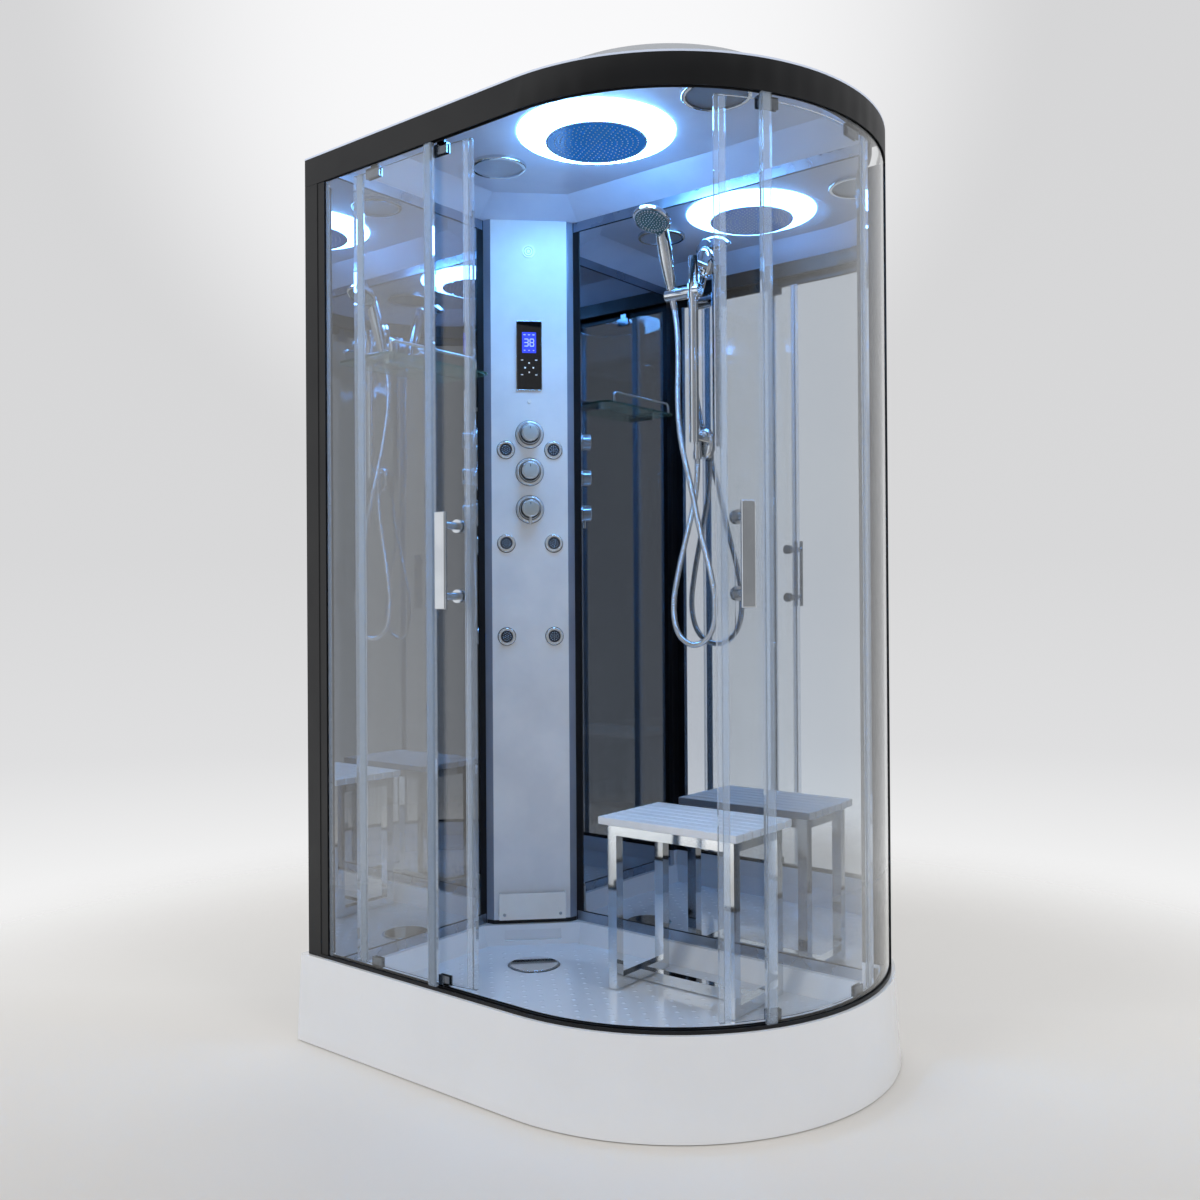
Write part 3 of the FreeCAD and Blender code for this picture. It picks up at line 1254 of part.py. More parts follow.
def make_shelf_fittings():
    """Two wall clips under the glass and the low gallery rail on it."""
    deep, wide, tall = SHELF_CLIP
    end = SHELF_FRONT + SHELF_LENGTH
    clips = [box(WALL_X, WALL_X + deep, y - wide / 2, y + wide / 2, SHELF_HEIGHT - tall, SHELF_HEIGHT)
             for y in (SHELF_FRONT + SHELF_CLIP_INSET, end - SHELF_CLIP_INSET)]
    x = WALL_X + SHELF_DEPTH - GALLERY_INSET
    low = SHELF_HEIGHT + GLASS
    high = low + GALLERY_HEIGHT
    first = SHELF_FRONT + GALLERY_ENDS[0]
    last = end - GALLERY_ENDS[1]
    gallery = bent_rod([V(x, first, low), V(x, first, high), V(x, last, high), V(x, last, low)],
                       GALLERY_R, GALLERY_BEND)
    return clips + [gallery]


# ---- Ceiling and roof ------------------------------------------------------------------

def ceiling_outline(inset, z):
    """Inner edge of the ceiling, moved in by an inset."""
    return inner_outline(WALL_X + RAIL_PROUD + inset, WALL_Y - RAIL_PROUD - inset,
                         FRAME_RADIUS - RAIL_WIDTH - inset, COLUMN_REACH + inset, z)


def make_ceiling_shell():
    """Flange on the frame, sloping cornice and flat ceiling, in one moulding."""
    skin = CEILING_SKIN
    flange = prism(outline(LEFT_X, BACK_Y, FRAME_RADIUS, RAIL_TOP), skin)
    outer = loft(ceiling_outline(-skin, RAIL_TOP), ceiling_outline(COVE - skin, CEILING_HEIGHT + skin))
    inner = loft(ceiling_outline(0, RAIL_TOP), ceiling_outline(COVE, CEILING_HEIGHT))
    body = fuse([flange, outer]).cut(inner)
    centre = V(LIGHT_X, LIGHT_Y, 0)
    return [body.cut(rod(centre, UP, RAIN_FEED_R + GAP, CABIN_HEIGHT))]


def make_roof_dome():
    """Pale outer roof over the lights."""
    def section(inset, z):
        return outline(LEFT_X + inset, BACK_Y - inset, FRAME_RADIUS - inset, z)
    low = RAIL_TOP + CEILING_SKIN
    outer = loft(section(ROOF_EDGE, low), section(ROOF_SLOPE, CABIN_HEIGHT))
    inner = loft(section(ROOF_EDGE + ROOF_SKIN, low), section(ROOF_SLOPE, CABIN_HEIGHT - ROOF_SKIN))
    return [outer.cut(inner)]


def make_light_diffuser():
    """Glowing ring: a shallow cone from the ceiling down to the rain shower."""
    edge = RAIN_R + 2
    low = CEILING_HEIGHT - RING_DROP
    profile = [(RING_R, CEILING_HEIGHT), (RING_R, CEILING_HEIGHT - RING_SKIN), (edge + RING_SKIN, low),
               (edge, low), (edge, low + RING_SKIN), (RING_R - RING_SKIN, CEILING_HEIGHT)]
    return [turned(profile, V(LIGHT_X, LIGHT_Y, 0))]


def make_led_ring():
    """Lamp strip on the ceiling above the diffuser."""
    start = V(LIGHT_X, LIGHT_Y, CEILING_HEIGHT - LED_THICK)
    return [ring(start, UP, LED_R, LED_R - LED_WIDTH, LED_THICK)]


def make_rain_shower():
    """Round spray head with its hub and its feed through the ceiling."""
    centre = V(LIGHT_X, LIGHT_Y, 0)
    low = CEILING_HEIGHT - RING_DROP
    return [fuse([rod(centre + UP * low, UP, RAIN_R, RAIN_THICK),
                  rod(centre + UP * low, UP, RAIN_HUB_R, RING_DROP),
                  rod(centre + UP * low, UP, RAIN_FEED_R, RING_DROP + RAIN_FEED)])]


def ceiling_fitting(x, radius):
    """A bezel ring and a slightly lower disc inside it."""
    start = V(x, LIGHT_Y, CEILING_HEIGHT - BEZEL_THICK)
    bezel = ring(start, UP, radius, radius - BEZEL_WIDTH, BEZEL_THICK)
    bezel = rounded(bezel, BEZEL_EDGE, lambda edge: edge.Closed and edge.BoundBox.ZMax < start.z + 1
                    and abs(edge.BoundBox.XLength - 2 * radius) < 0.1)
    disc = rod(V(x, LIGHT_Y, CEILING_HEIGHT - LENS_THICK), UP, radius - BEZEL_WIDTH, LENS_THICK)
    return [bezel, disc]


def make_downlight():
    """Small round lamp nearer the column."""
    return ceiling_fitting(LIGHT_X - DOWNLIGHT_SHARE * HALF_WIDTH, DOWNLIGHT_R)


def make_speaker():
    """Round loudspeaker on the other side of the rain shower."""
    return ceiling_fitting(LIGHT_X + SPEAKER_SHARE * HALF_WIDTH, SPEAKER_R)


# ---- Doors -----------------------------------------------------------------------------

def door_pane(offset, thick, start, end, z0, z1):
    """A piece of the left door's line with the door closed: straight, then round the curve.

    start is along X and end is an angle on the curve. Both pieces meet at the arc's start.
    """
    r0 = FRAME_RADIUS - offset + thick / 2
    r1 = FRAME_RADIUS - offset - thick / 2
    straight = box(start, ARC_X, ARC_Y - r0, ARC_Y - r1, z0, z1)
    return straight.fuse(sector(r0, r1, 0, end, z0, z1)).removeSplitter()


def strip_angle(length):
    """Angle of a length along the door's curve."""
    return math.degrees(length / DOOR_R)


def bolt_holes(shape, angle):
    """Bores the two handle holes through a pane at an angle on the curve."""
    for side in (-1, 1):
        z = HANDLE_MIDDLE + side * HANDLE_PITCH / 2
        bore = rod(V(ARC_X, FRONT_Y, z), V(0, 1, 0), BOLT_R + GAP, TRACK_WIDTH * 2)
        shape = shape.cut(turned_on_arc(bore, angle))
    return shape


def handle_at(angle):
    """Pull handle: a flat bar on two bolts through the glass, with caps inside."""
    outside = FRONT_Y + DOOR_OFFSET - GLASS / 2
    inside = outside + GLASS
    bar_y = outside - HANDLE_REACH
    half = HANDLE_LENGTH / 2
    bar = box(ARC_X - HANDLE_WIDTH / 2, ARC_X + HANDLE_WIDTH / 2, bar_y - HANDLE_THICK, bar_y,
              HANDLE_MIDDLE - half, HANDLE_MIDDLE + half)
    bar = rounded(bar, HANDLE_EDGE, lambda edge: edge.BoundBox.YMax < bar_y - HANDLE_THICK / 2)
    parts = [bar]
    inward = V(0, 1, 0)
    for side in (-1, 1):
        z = HANDLE_MIDDLE + side * HANDLE_PITCH / 2
        parts.append(rod(V(ARC_X, bar_y - 1, z), inward, STANDOFF_R, HANDLE_REACH + 1 - FLANGE_THICK))
        parts.append(rod(V(ARC_X, outside - FLANGE_THICK - GAP, z), inward, FLANGE_R, FLANGE_THICK))
        parts.append(rod(V(ARC_X, outside - FLANGE_THICK, z), inward, BOLT_R, GLASS + FLANGE_THICK + 1))
        parts.append(rod(V(ARC_X, inside + GAP, z), inward, FLANGE_R, FLANGE_THICK))
    return turned_on_arc(fuse(parts), angle)


def hanger():
    """Saddle on the glass, plate up through the rail's slot, and the axle; drawn at the arc's start."""
    y = FRONT_Y + DOOR_OFFSET
    half = HANGER_WIDTH / 2
    top = RAIL_BOTTOM - PROFILE_WALL
    saddle = box(ARC_X - half, ARC_X + half, y - HANGER_THICK / 2, y + HANGER_THICK / 2,
                 DOOR_TOP - HANGER_DROP, top)
    slot = GLASS / 2 + SADDLE_GAP
    saddle = saddle.cut(box(ARC_X - half, ARC_X + half, y - slot, y + slot, 0, DOOR_TOP))
    plate = box(ARC_X - half / 2, ARC_X + half / 2, y - HANGER_PLATE / 2, y + HANGER_PLATE / 2,
                top, WHEEL_Z + 2 * AXLE_R)
    wheel_near, wheel_far = wheel_faces()
    axle = rod(V(ARC_X, y, WHEEL_Z), V(0, 1, 0), AXLE_R, wheel_far + 2 * GAP - y)
    cap = rod(V(ARC_X, wheel_far + GAP, WHEEL_Z), V(0, 1, 0), AXLE_BOSS_R, AXLE_CAP)
    boss = rod(V(ARC_X, y, WHEEL_Z), V(0, 1, 0), AXLE_BOSS_R, wheel_near - GAP - y)
    return fuse([saddle, plate, axle, cap, boss])


def wheel_faces():
    """Near and far face of a wheel, which is centred on the rail's lip."""
    middle = FRONT_Y + LEDGE_START + PROFILE_WALL / 2
    return middle - WHEEL_WIDTH / 2, middle + WHEEL_WIDTH / 2


def wheel():
    """Grooved wheel that runs on the lip; drawn at the arc's start."""
    near, far = wheel_faces()
    inward = V(0, 1, 0)
    groove = (WHEEL_WIDTH - GROOVE_WIDTH) / 2
    body = fuse([
        rod(V(ARC_X, near, WHEEL_Z), inward, WHEEL_R, groove),
        rod(V(ARC_X, near, WHEEL_Z), inward, GROOVE_R, WHEEL_WIDTH),
        rod(V(ARC_X, far - groove, WHEEL_Z), inward, WHEEL_R, groove),
    ])
    return body.cut(rod(V(ARC_X, near - 1, WHEEL_Z), inward, AXLE_R + RUN, WHEEL_WIDTH + 2))


def guide():
    """Block on the glass's foot with the pin that runs in the track; drawn at the arc's start."""
    y = FRONT_Y + DOOR_OFFSET
    half = GUIDE_WIDTH / 2
    low = RIM_HEIGHT + TRACK_HEIGHT + 1
    block = box(ARC_X - half, ARC_X + half, y - HANGER_THICK / 2, y + HANGER_THICK / 2,
                low, low + GUIDE_HEIGHT)
    slot = GLASS / 2 + SADDLE_GAP
    block = block.cut(box(ARC_X - half, ARC_X + half, y - slot, y + slot, DOOR_BOTTOM, RAIL_TOP))
    channel = FRONT_Y + FIXED_OFFSET + GLASS / 2 + 1 + PROFILE_WALL
    lip = FRONT_Y + TRACK_WIDTH - PROFILE_WALL
    pin_low = RIM_HEIGHT + PROFILE_WALL + 1
    pin = rod(V(ARC_X, (channel + lip) / 2, pin_low), UP, GUIDE_PIN_R, low - pin_low)
    return fuse([block, pin])


def place_left(shape, along):
    """Puts a hanger or wheel on the left door, in its open place."""
    beyond = max(0.0, along - ARC_X)
    angle = math.degrees(math.asin(beyond / DOOR_R))
    placed = turned_on_arc(moved(shape, V(min(along, ARC_X) - ARC_X, 0, 0)), angle)
    return moved(placed, V(-LEFT_TRAVEL, 0, 0))


def place_right(shape, angle):
    """Puts a hanger or wheel on the right door, in its open place."""
    return turned_on_arc(shape, angle + RIGHT_TRAVEL)


def left_line():
    """Trailing end along X, and the glass's end on the curve, with the left door closed."""
    return FIXED_LEFT_END - LEFT_OVERLAP, MEET_ANGLE - strip_angle(STRIP_THICK)


def left_hangers():
    """Places of the left door's two hangers along X, with the door closed."""
    return left_line()[0] + HANGER_INSET, ARC_X + HANGER_BEYOND


def right_line():
    """First and last angle of the right door with the door open."""
    first = MEET_ANGLE + MEET_GAP + RIGHT_TRAVEL
    return first, first + RIGHT_ARC


def make_left_door_glass():
    """Door pane: flat, with the last stretch bent to meet the curve."""
    start, end = left_line()
    pane = door_pane(DOOR_OFFSET, GLASS, start + STRIP_THICK, end, DOOR_BOTTOM, DOOR_TOP)
    return [moved(bolt_holes(pane, MEET_ANGLE - HANDLE_ANGLE), V(-LEFT_TRAVEL, 0, 0))]


def make_left_door_seals():
    """Trailing seal and closing strip of the left door."""
    start, _ = left_line()
    half = STRIP_THICK / 2
    y = FRONT_Y + DOOR_OFFSET
    trail = box(start, start + TRAIL_STRIP, y - half, y + half, DOOR_BOTTOM, DOOR_TOP)
    lead = sector(DOOR_R + half, DOOR_R - half, MEET_ANGLE - strip_angle(STRIP), MEET_ANGLE,
                  DOOR_BOTTOM, DOOR_TOP)
    glass = make_left_door_glass()[0]
    return [moved(strip, V(-LEFT_TRAVEL, 0, 0)).cut(glass) for strip in (trail, lead)]


def make_left_door_handle():
    """Pull handle of the left door."""
    return [moved(handle_at(MEET_ANGLE - HANDLE_ANGLE), V(-LEFT_TRAVEL, 0, 0))]


def make_left_door_hangers():
    """Roller hangers and bottom guides of the left door."""
    return [place_left(shape, along) for along in left_hangers() for shape in (hanger(), guide())]


def make_right_door_glass():
    """Bent door pane."""
    first, last = right_line()
    pane = sector(DOOR_R + GLASS / 2, DOOR_R - GLASS / 2, first + strip_angle(STRIP_THICK),
                  last - strip_angle(STRIP_THICK), DOOR_BOTTOM, DOOR_TOP)
    return [bolt_holes(pane, first + HANDLE_ANGLE)]


def make_right_door_seals():
    """Trailing seal and closing strip of the right door."""
    first, last = right_line()
    half = STRIP_THICK / 2
    glass = make_right_door_glass()[0]
    strips = [(first, first + strip_angle(STRIP)), (last - strip_angle(TRAIL_STRIP), last)]
    return [sector(DOOR_R + half, DOOR_R - half, a0, a1, DOOR_BOTTOM, DOOR_TOP).cut(glass)
            for a0, a1 in strips]


def make_right_door_handle():
    """Pull handle of the right door."""
    return [handle_at(right_line()[0] + HANDLE_ANGLE)]


def make_right_door_hangers():
    """Roller hangers and bottom guides of the right door."""
    return [place_right(shape, angle) for angle in RIGHT_HANGERS for shape in (hanger(), guide())]


# ---- Stool -----------------------------------------------------------------------------

def stool_feet_lines():
    """Outer X and Y of the stool's legs."""
    half_x = SEAT_LENGTH / 2 - SEAT_OVERHANG
    half_y = SEAT_DEPTH / 2 - SEAT_OVERHANG
    return STOOL_X - half_x, STOOL_X + half_x, STOOL_Y - half_y, STOOL_Y + half_y


def make_stool_frame():
    """Square tubes: four legs, a ring under the seat, two floor bars and their crossbar, and foot pads."""
    x0, x1, y0, y1 = stool_feet_lines()
    t = STOOL_TUBE
    low = FLOOR_HEIGHT + STOOL_PAD
    high = SEAT_TOP - SEAT_THICK
    parts = []
    for x in (x0, x1 - t):
        parts += [box(x, x + t, y, y + t, low, high) for y in (y0, y1 - t)]
        parts += [box(x, x + t, y0, y1, z, z + t) for z in (low, high - t)]
    parts += [box(x0, x1, y, y + t, high - t, high) for y in (y0, y1 - t)]
    parts.append(box(x0, x1, STOOL_Y - t / 2, STOOL_Y + t / 2, low, low + t))
    pads = [rod(V(x, y, FLOOR_HEIGHT), UP, STOOL_PAD_R, STOOL_PAD)
            for x in (x0 + t / 2, x1 - t / 2) for y in (y0 + t / 2, y1 - t / 2)]
    return [fuse(parts)] + pads


def make_stool_seat():
    """Slats along the seat."""
    pitch = (SEAT_DEPTH + SLAT_GAP) / SLATS
    width = pitch - SLAT_GAP
    first = STOOL_Y - SEAT_DEPTH / 2
    slats = []
    for i in range(SLATS):
        slat = box(STOOL_X - SEAT_LENGTH / 2, STOOL_X + SEAT_LENGTH / 2,
                   first + i * pitch, first + i * pitch + width, SEAT_TOP - SEAT_THICK, SEAT_TOP)
        slats.append(rounded(slat, SLAT_EDGE, lambda edge: edge.BoundBox.ZMin > SEAT_TOP - 1))
    return slats


# ---- Nodes -----------------------------------------------------------------------------

NODES = {
    "tray": make_tray,
    "tray_frame": make_tray_frame,
    "levelling_feet": make_levelling_feet,
    "drain_trap": make_drain_trap,
    "drain_cover": make_drain_cover,
    "bottom_track": make_bottom_track,
    "top_rail": make_top_rail,
    "posts": make_posts,
    "fixed_glass": make_fixed_glass,
    "fixed_seals": make_fixed_seals,
    "wall_panel_left": make_wall_panel_left,
    "wall_panel_back": make_wall_panel_back,
    "wall_rails": make_wall_rails,
    "wall_seals": make_wall_seals,
    "tower_column": make_tower_column,
    "tower_rear_cover": make_tower_rear_cover,
    "tower_base_trim": make_tower_base_trim,
    "steam_outlet_cover": make_steam_outlet_cover,
    "steam_generator": make_steam_generator,
    "control_panel": make_control_panel,
    "control_screen": make_control_screen,
    "tower_badge": make_tower_badge,
    "valve_manifold": make_valve_manifold,
    "valve_escutcheons": make_valve_escutcheons,
    "flow_knob": lambda: knob(KNOB_HEIGHTS[0]),
    "temperature_knob": lambda: knob(KNOB_HEIGHTS[1]),
    "diverter_knob": lambda: knob(KNOB_HEIGHTS[2], lever=True),
    "jet_rings": make_jet_rings,
    "jet_spray_plates": make_jet_spray_plates,
    "supply_pipes": make_supply_pipes,
    "riser_bar": make_riser_bar,
    "riser_brackets": make_riser_brackets,
    "slider": make_slider,
    "shower_holder": make_shower_holder,
    "hand_shower": make_hand_shower,
    "spray_face": make_spray_face,
    "shower_hose": make_shower_hose,
    "shelf_glass": make_shelf_glass,
    "shelf_fittings": make_shelf_fittings,
    "ceiling_shell": make_ceiling_shell,
    "roof_dome": make_roof_dome,
    "light_diffuser": make_light_diffuser,
    "led_ring": make_led_ring,
    "rain_shower": make_rain_shower,
    "downlight": make_downlight,
    "speaker": make_speaker,
    "left_door_glass": make_left_door_glass,
    "left_door_seals": make_left_door_seals,
    "left_door_handle": make_left_door_handle,
    "left_door_hangers": make_left_door_hangers,
    "left_wheel_trailing": lambda: [place_left(wheel(), left_hangers()[0])],
    "left_wheel_leading": lambda: [place_left(wheel(), left_hangers()[1])],
    "right_door_glass": make_right_door_glass,
    "right_door_seals": make_right_door_seals,
    "right_door_handle": make_right_door_handle,
    "right_door_hangers": make_right_door_hangers,
    "right_wheel_leading": lambda: [place_right(wheel(), RIGHT_HANGERS[0])],
    "right_wheel_trailing": lambda: [place_right(wheel(), RIGHT_HANGERS[1])],
    "stool_frame": make_stool_frame,
    "stool_seat": make_stool_seat,
}

os.makedirs("parts", exist_ok=True)
for name, make in NODES.items():
    solids = [solid for shape in make() for solid in shape.Solids]
    node = solids[0] if len(solids) == 1 else Part.makeCompound(solids)
    node.exportStep("parts/" + name + ".step")
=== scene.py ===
"""Dresses the corner steam shower cabin for its pictures, over its CAD frame.

Metres, +Z up. The cabin stands on the floor over the origin, +X along its long side, away from
the fittings column, and -Y out through the doors. Sizes given in millimetres carry mm in their
name or pass through mm() or metres().
"""

import logging
import math
from abc import ABC, abstractmethod
from dataclasses import dataclass, field
from enum import Enum
from typing import Any, Iterable, Sequence

import bmesh
import bpy
from mathutils import Matrix, Vector

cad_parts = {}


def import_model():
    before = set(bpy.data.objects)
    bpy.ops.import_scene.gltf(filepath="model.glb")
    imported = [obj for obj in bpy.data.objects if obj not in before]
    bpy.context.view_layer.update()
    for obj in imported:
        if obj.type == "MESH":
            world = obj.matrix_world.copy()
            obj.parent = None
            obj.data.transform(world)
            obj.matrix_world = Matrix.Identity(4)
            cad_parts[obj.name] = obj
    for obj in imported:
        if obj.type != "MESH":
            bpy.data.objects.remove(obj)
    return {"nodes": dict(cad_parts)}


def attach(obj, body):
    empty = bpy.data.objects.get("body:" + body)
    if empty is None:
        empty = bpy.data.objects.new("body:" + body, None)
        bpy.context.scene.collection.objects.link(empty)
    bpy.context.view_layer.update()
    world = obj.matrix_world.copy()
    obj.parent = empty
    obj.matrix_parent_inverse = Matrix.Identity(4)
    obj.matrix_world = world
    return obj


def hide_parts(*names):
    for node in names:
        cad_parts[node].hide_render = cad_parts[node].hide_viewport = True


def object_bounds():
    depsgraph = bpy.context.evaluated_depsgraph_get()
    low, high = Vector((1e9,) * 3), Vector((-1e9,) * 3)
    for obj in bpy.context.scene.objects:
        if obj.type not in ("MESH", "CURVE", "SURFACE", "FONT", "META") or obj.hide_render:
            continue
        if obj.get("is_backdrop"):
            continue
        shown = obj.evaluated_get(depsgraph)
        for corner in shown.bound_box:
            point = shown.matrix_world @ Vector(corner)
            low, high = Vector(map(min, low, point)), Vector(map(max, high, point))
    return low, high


LOG = logging.getLogger("cabin")
Pair = tuple[float, float]
Point = tuple[float, float, float]
Shape = tuple[list[Vector], list[list[int]]]
Tree = bpy.types.NodeTree
Socket = bpy.types.NodeSocket

# The inner corner behind the column, from which the column's places are measured.
COLUMN_CORNER_MM: Pair = (-583.0, 383.0)
# Where most of a noise texture's values lie.
NOISE_RANGE: Pair = (0.3, 0.7)
# How far from a punched hole's middle its edge starts and ends, in shares of the holes' spacing.
HOLE_EDGE: Pair = (0.25, 0.4)
# Corners closer than this are one, and edges sharper than this angle are broken.
WELD_MM = 0.01
SHARP_DEGREES = 40.0


# ---- Small helpers ---------------------------------------------------------------------

def mm(value: float) -> float:
    """Turns millimetres to metres."""
    return value / 1000


def metres(x: float, y: float, z: float) -> Vector:
    """A point whose coordinates are given in millimetres."""
    return Vector((mm(x), mm(y), mm(z)))


def linear(code: str) -> tuple[float, float, float, float]:
    """Turns an sRGB hex value to the linear colour that shaders use.

    Args:
        code: the colour, such as "#E9EBEE".

    Returns:
        Linear red, green and blue, and full opacity.
    """
    channels = []
    for start in (1, 3, 5):
        value = int(code[start:start + 2], 16) / 255
        channels.append(value / 12.92 if value <= 0.04045 else ((value + 0.055) / 1.055) ** 2.4)
    return channels[0], channels[1], channels[2], 1.0


def add_node(tree: Tree, kind: str, inputs: dict | None = None, out: int | str = 0,
             **settings: Any) -> Socket | None:
    """Adds a shader node with its settings and inputs.

    Args:
        tree: the node tree that gets the node.
        kind: Blender's name of the node type, after its ShaderNode.
        inputs: what each input socket gets: a value, or another node's output.
        out: the output that is wanted.
        settings: the node's own properties.

    Returns:
        That output, or None from a node that has no outputs.
    """
    node = tree.nodes.new("ShaderNode" + kind)
    for name, setting in settings.items():
        setattr(node, name, setting)
    for socket, given in (inputs or {}).items():
        if isinstance(given, Socket):
            tree.links.new(given, node.inputs[socket])
        else:
            node.inputs[socket].default_value = given
    return node.outputs[out] if node.outputs else None


def noise(tree: Tree, place: Socket, size_mm: float, detail: float) -> Socket:
    """Noise whose patches are about a given size."""
    return add_node(tree, "TexNoise", {"Scale": 1 / mm(size_mm), "Detail": detail, "Vector": place})


def bump(tree: Tree, height: Socket, depth_mm: float) -> Socket:
    """The normal of a relief of a given depth."""
    return add_node(tree, "Bump", {"Strength": 1.0, "Distance": mm(depth_mm), "Height": height})


def mix(tree: Tree, factor: float | Socket, first: Socket, second: Socket) -> Socket:
    """Mixes two shaders: all of the first at 0, all of the second at 1."""
    return add_node(tree, "MixShader", {0: factor, 1: first, 2: second})


def two_tone(tree: Tree, factor: Socket, low: str, high: str, stops: Pair = (0.35, 0.65)) -> Socket:
    """Blends two hex colours by a factor.

    Args:
        tree: the node tree.
        factor: the socket that drives the blend.
        low: the colour below the first stop.
        high: the colour above the second stop.
        stops: where the blend starts and ends.

    Returns:
        The colour socket.
    """
    blend = add_node(tree, "ValToRGB", {"Fac": factor})
    for element, position, code in zip(blend.node.color_ramp.elements, stops, (low, high)):
        element.position = position
        element.color = linear(code)
    return blend


# ---- Finishes --------------------------------------------------------------------------

class Grain(Enum):
    """How a surface was made, which decides the make of its small relief."""

    MOULDED = "moulded"
    CAST = "cast"
    COATED = "coated"
    POLISHED = "polished"
    BRUSHED_UP = "brushed upwards"
    BRUSHED_ALONG = "brushed along X and Y"
    PERFORATED = "perforated"

    def stretch(self) -> Point:
        """How much the relief is drawn out along X, Y and Z."""
        return {Grain.BRUSHED_UP: (1.0, 1.0, 0.02), Grain.BRUSHED_ALONG: (0.02, 0.02, 1.0)}.get(
            self, (1.0, 1.0, 1.0))


@dataclass(frozen=True)
class Finish(ABC):
    """A real material with the way its surface was made."""

    name: str

    @abstractmethod
    def wire(self, tree: Tree) -> Socket:
        """Adds the finish's nodes and returns the socket of its shader."""

    def material(self) -> bpy.types.Material:
        """The finish's material, made the first time that it is asked for."""
        known = bpy.data.materials.get(self.name)
        if known is not None:
            return known
        made = bpy.data.materials.new(self.name)
        made.use_nodes = True
        made.node_tree.nodes.clear()
        add_node(made.node_tree, "OutputMaterial", {"Surface": self.wire(made.node_tree)})
        return made


@dataclass(frozen=True)
class SolidFinish(Finish):
    """An opaque surface: its two tones, its gloss and its relief."""

    colour: str
    shade: str
    grain: Grain
    grain_mm: float
    relief_mm: float
    roughness: Pair
    metallic: float = 0.0
    ior: float = 1.5
    coat: float = 0.0
    coat_roughness: float = 0.05
    mottle_mm: float = 120.0
    glow: float = 0.0
    glow_colour: str = "#FFFFFF"

    def wire(self, tree: Tree) -> Socket:
        """Adds the finish's nodes and returns the socket of its shader."""
        place = add_node(tree, "TexCoord", out="Object")
        mottle = noise(tree, place, self.mottle_mm, 3.0)
        rough = add_node(tree, "MapRange", {
            "Value": mottle, "From Min": NOISE_RANGE[0], "From Max": NOISE_RANGE[1],
            "To Min": self.roughness[0], "To Max": self.roughness[1]})
        height = self.relief(tree, place)
        colour = two_tone(tree, height if self.grain is Grain.PERFORATED else mottle,
                          self.shade, self.colour)
        return add_node(tree, "BsdfPrincipled", {
            "Base Color": colour, "Roughness": rough, "Normal": bump(tree, height, self.relief_mm),
            "Metallic": self.metallic, "IOR": self.ior, "Coat Weight": self.coat,
            "Coat Roughness": self.coat_roughness, "Emission Strength": self.glow,
            "Emission Color": linear(self.glow_colour)})

    def relief(self, tree: Tree, place: Socket) -> Socket:
        """Adds the small relief's nodes and returns the socket of its height."""
        stretched = add_node(tree, "Mapping", {"Scale": self.grain.stretch(), "Vector": place})
        if self.grain is not Grain.PERFORATED:
            return noise(tree, stretched, self.grain_mm, 2.0)
        holes = add_node(tree, "TexVoronoi", {
            "Scale": 1 / mm(self.grain_mm), "Randomness": 0.0, "Vector": stretched})
        return add_node(tree, "MapRange", {
            "Value": holes, "From Min": HOLE_EDGE[0], "From Max": HOLE_EDGE[1]})


@dataclass(frozen=True)
class ClearFinish(Finish):
    """Glass or clear vinyl that lets the lamps' light through."""

    colour: str
    roughness: float
    ior: float = 1.5
    haze: float = 0.0
    haze_colour: str = "#FFFFFF"
    haze_roughness: float = 0.35
    wave_mm: float = 300.0
    wave_depth_mm: float = 0.06

    def wire(self, tree: Tree) -> Socket:
        """Adds the finish's nodes and returns the socket of its shader."""
        place = add_node(tree, "TexCoord", out="Object")
        normal = bump(tree, noise(tree, place, self.wave_mm, 1.0), self.wave_depth_mm)
        tint = linear(self.colour)
        glass = add_node(tree, "BsdfPrincipled", {
            "Base Color": tint, "Roughness": self.roughness, "IOR": self.ior,
            "Transmission Weight": 1.0, "Normal": normal})
        if self.haze:
            milk = add_node(tree, "BsdfPrincipled", {
                "Base Color": linear(self.haze_colour), "Roughness": self.haze_roughness})
            glass = mix(tree, self.haze, glass, milk)
        shadow = add_node(tree, "LightPath", out="Is Shadow Ray")
        return mix(tree, shadow, glass, add_node(tree, "BsdfTransparent", {"Color": tint}))


@dataclass(frozen=True)
class ZonedFinish(Finish):
    """Two finishes on one piece: one within a reach of a middle, the other beyond it."""

    inside: SolidFinish
    outside: SolidFinish
    middle_mm: Point
    axes: Point
    reach_mm: float

    def wire(self, tree: Tree) -> Socket:
        """Adds the finish's nodes and returns the socket of its shader."""
        place = add_node(tree, "TexCoord", out="Object")
        away = add_node(tree, "VectorMath", {0: place, 1: metres(*self.middle_mm)}, operation="SUBTRACT")
        kept = add_node(tree, "VectorMath", {0: away, 1: self.axes}, operation="MULTIPLY")
        reach = add_node(tree, "VectorMath", {0: kept}, "Value", operation="LENGTH")
        beyond = add_node(tree, "Math", {0: reach, 1: mm(self.reach_mm)}, operation="GREATER_THAN")
        return mix(tree, beyond, self.inside.wire(tree), self.outside.wire(tree))


# Vacuum-formed acrylic over glass fibre: a glossy, faintly blue white with slow waves.
TRAY_ACRYLIC = SolidFinish(
    "vacuum_formed_acrylic", "#EAECF0", "#E8EAEE", Grain.CAST, 45.0, 0.05, (0.1, 0.18), coat=0.5)
# Polyester powder coat on aluminium: satin black with a fine orange peel, drawn at twice its scale to show.
BLACK_COAT = SolidFinish(
    "black_powder_coat", "#121316", "#0E0F11", Grain.COATED, 1.6, 0.03, (0.38, 0.5), ior=1.4)
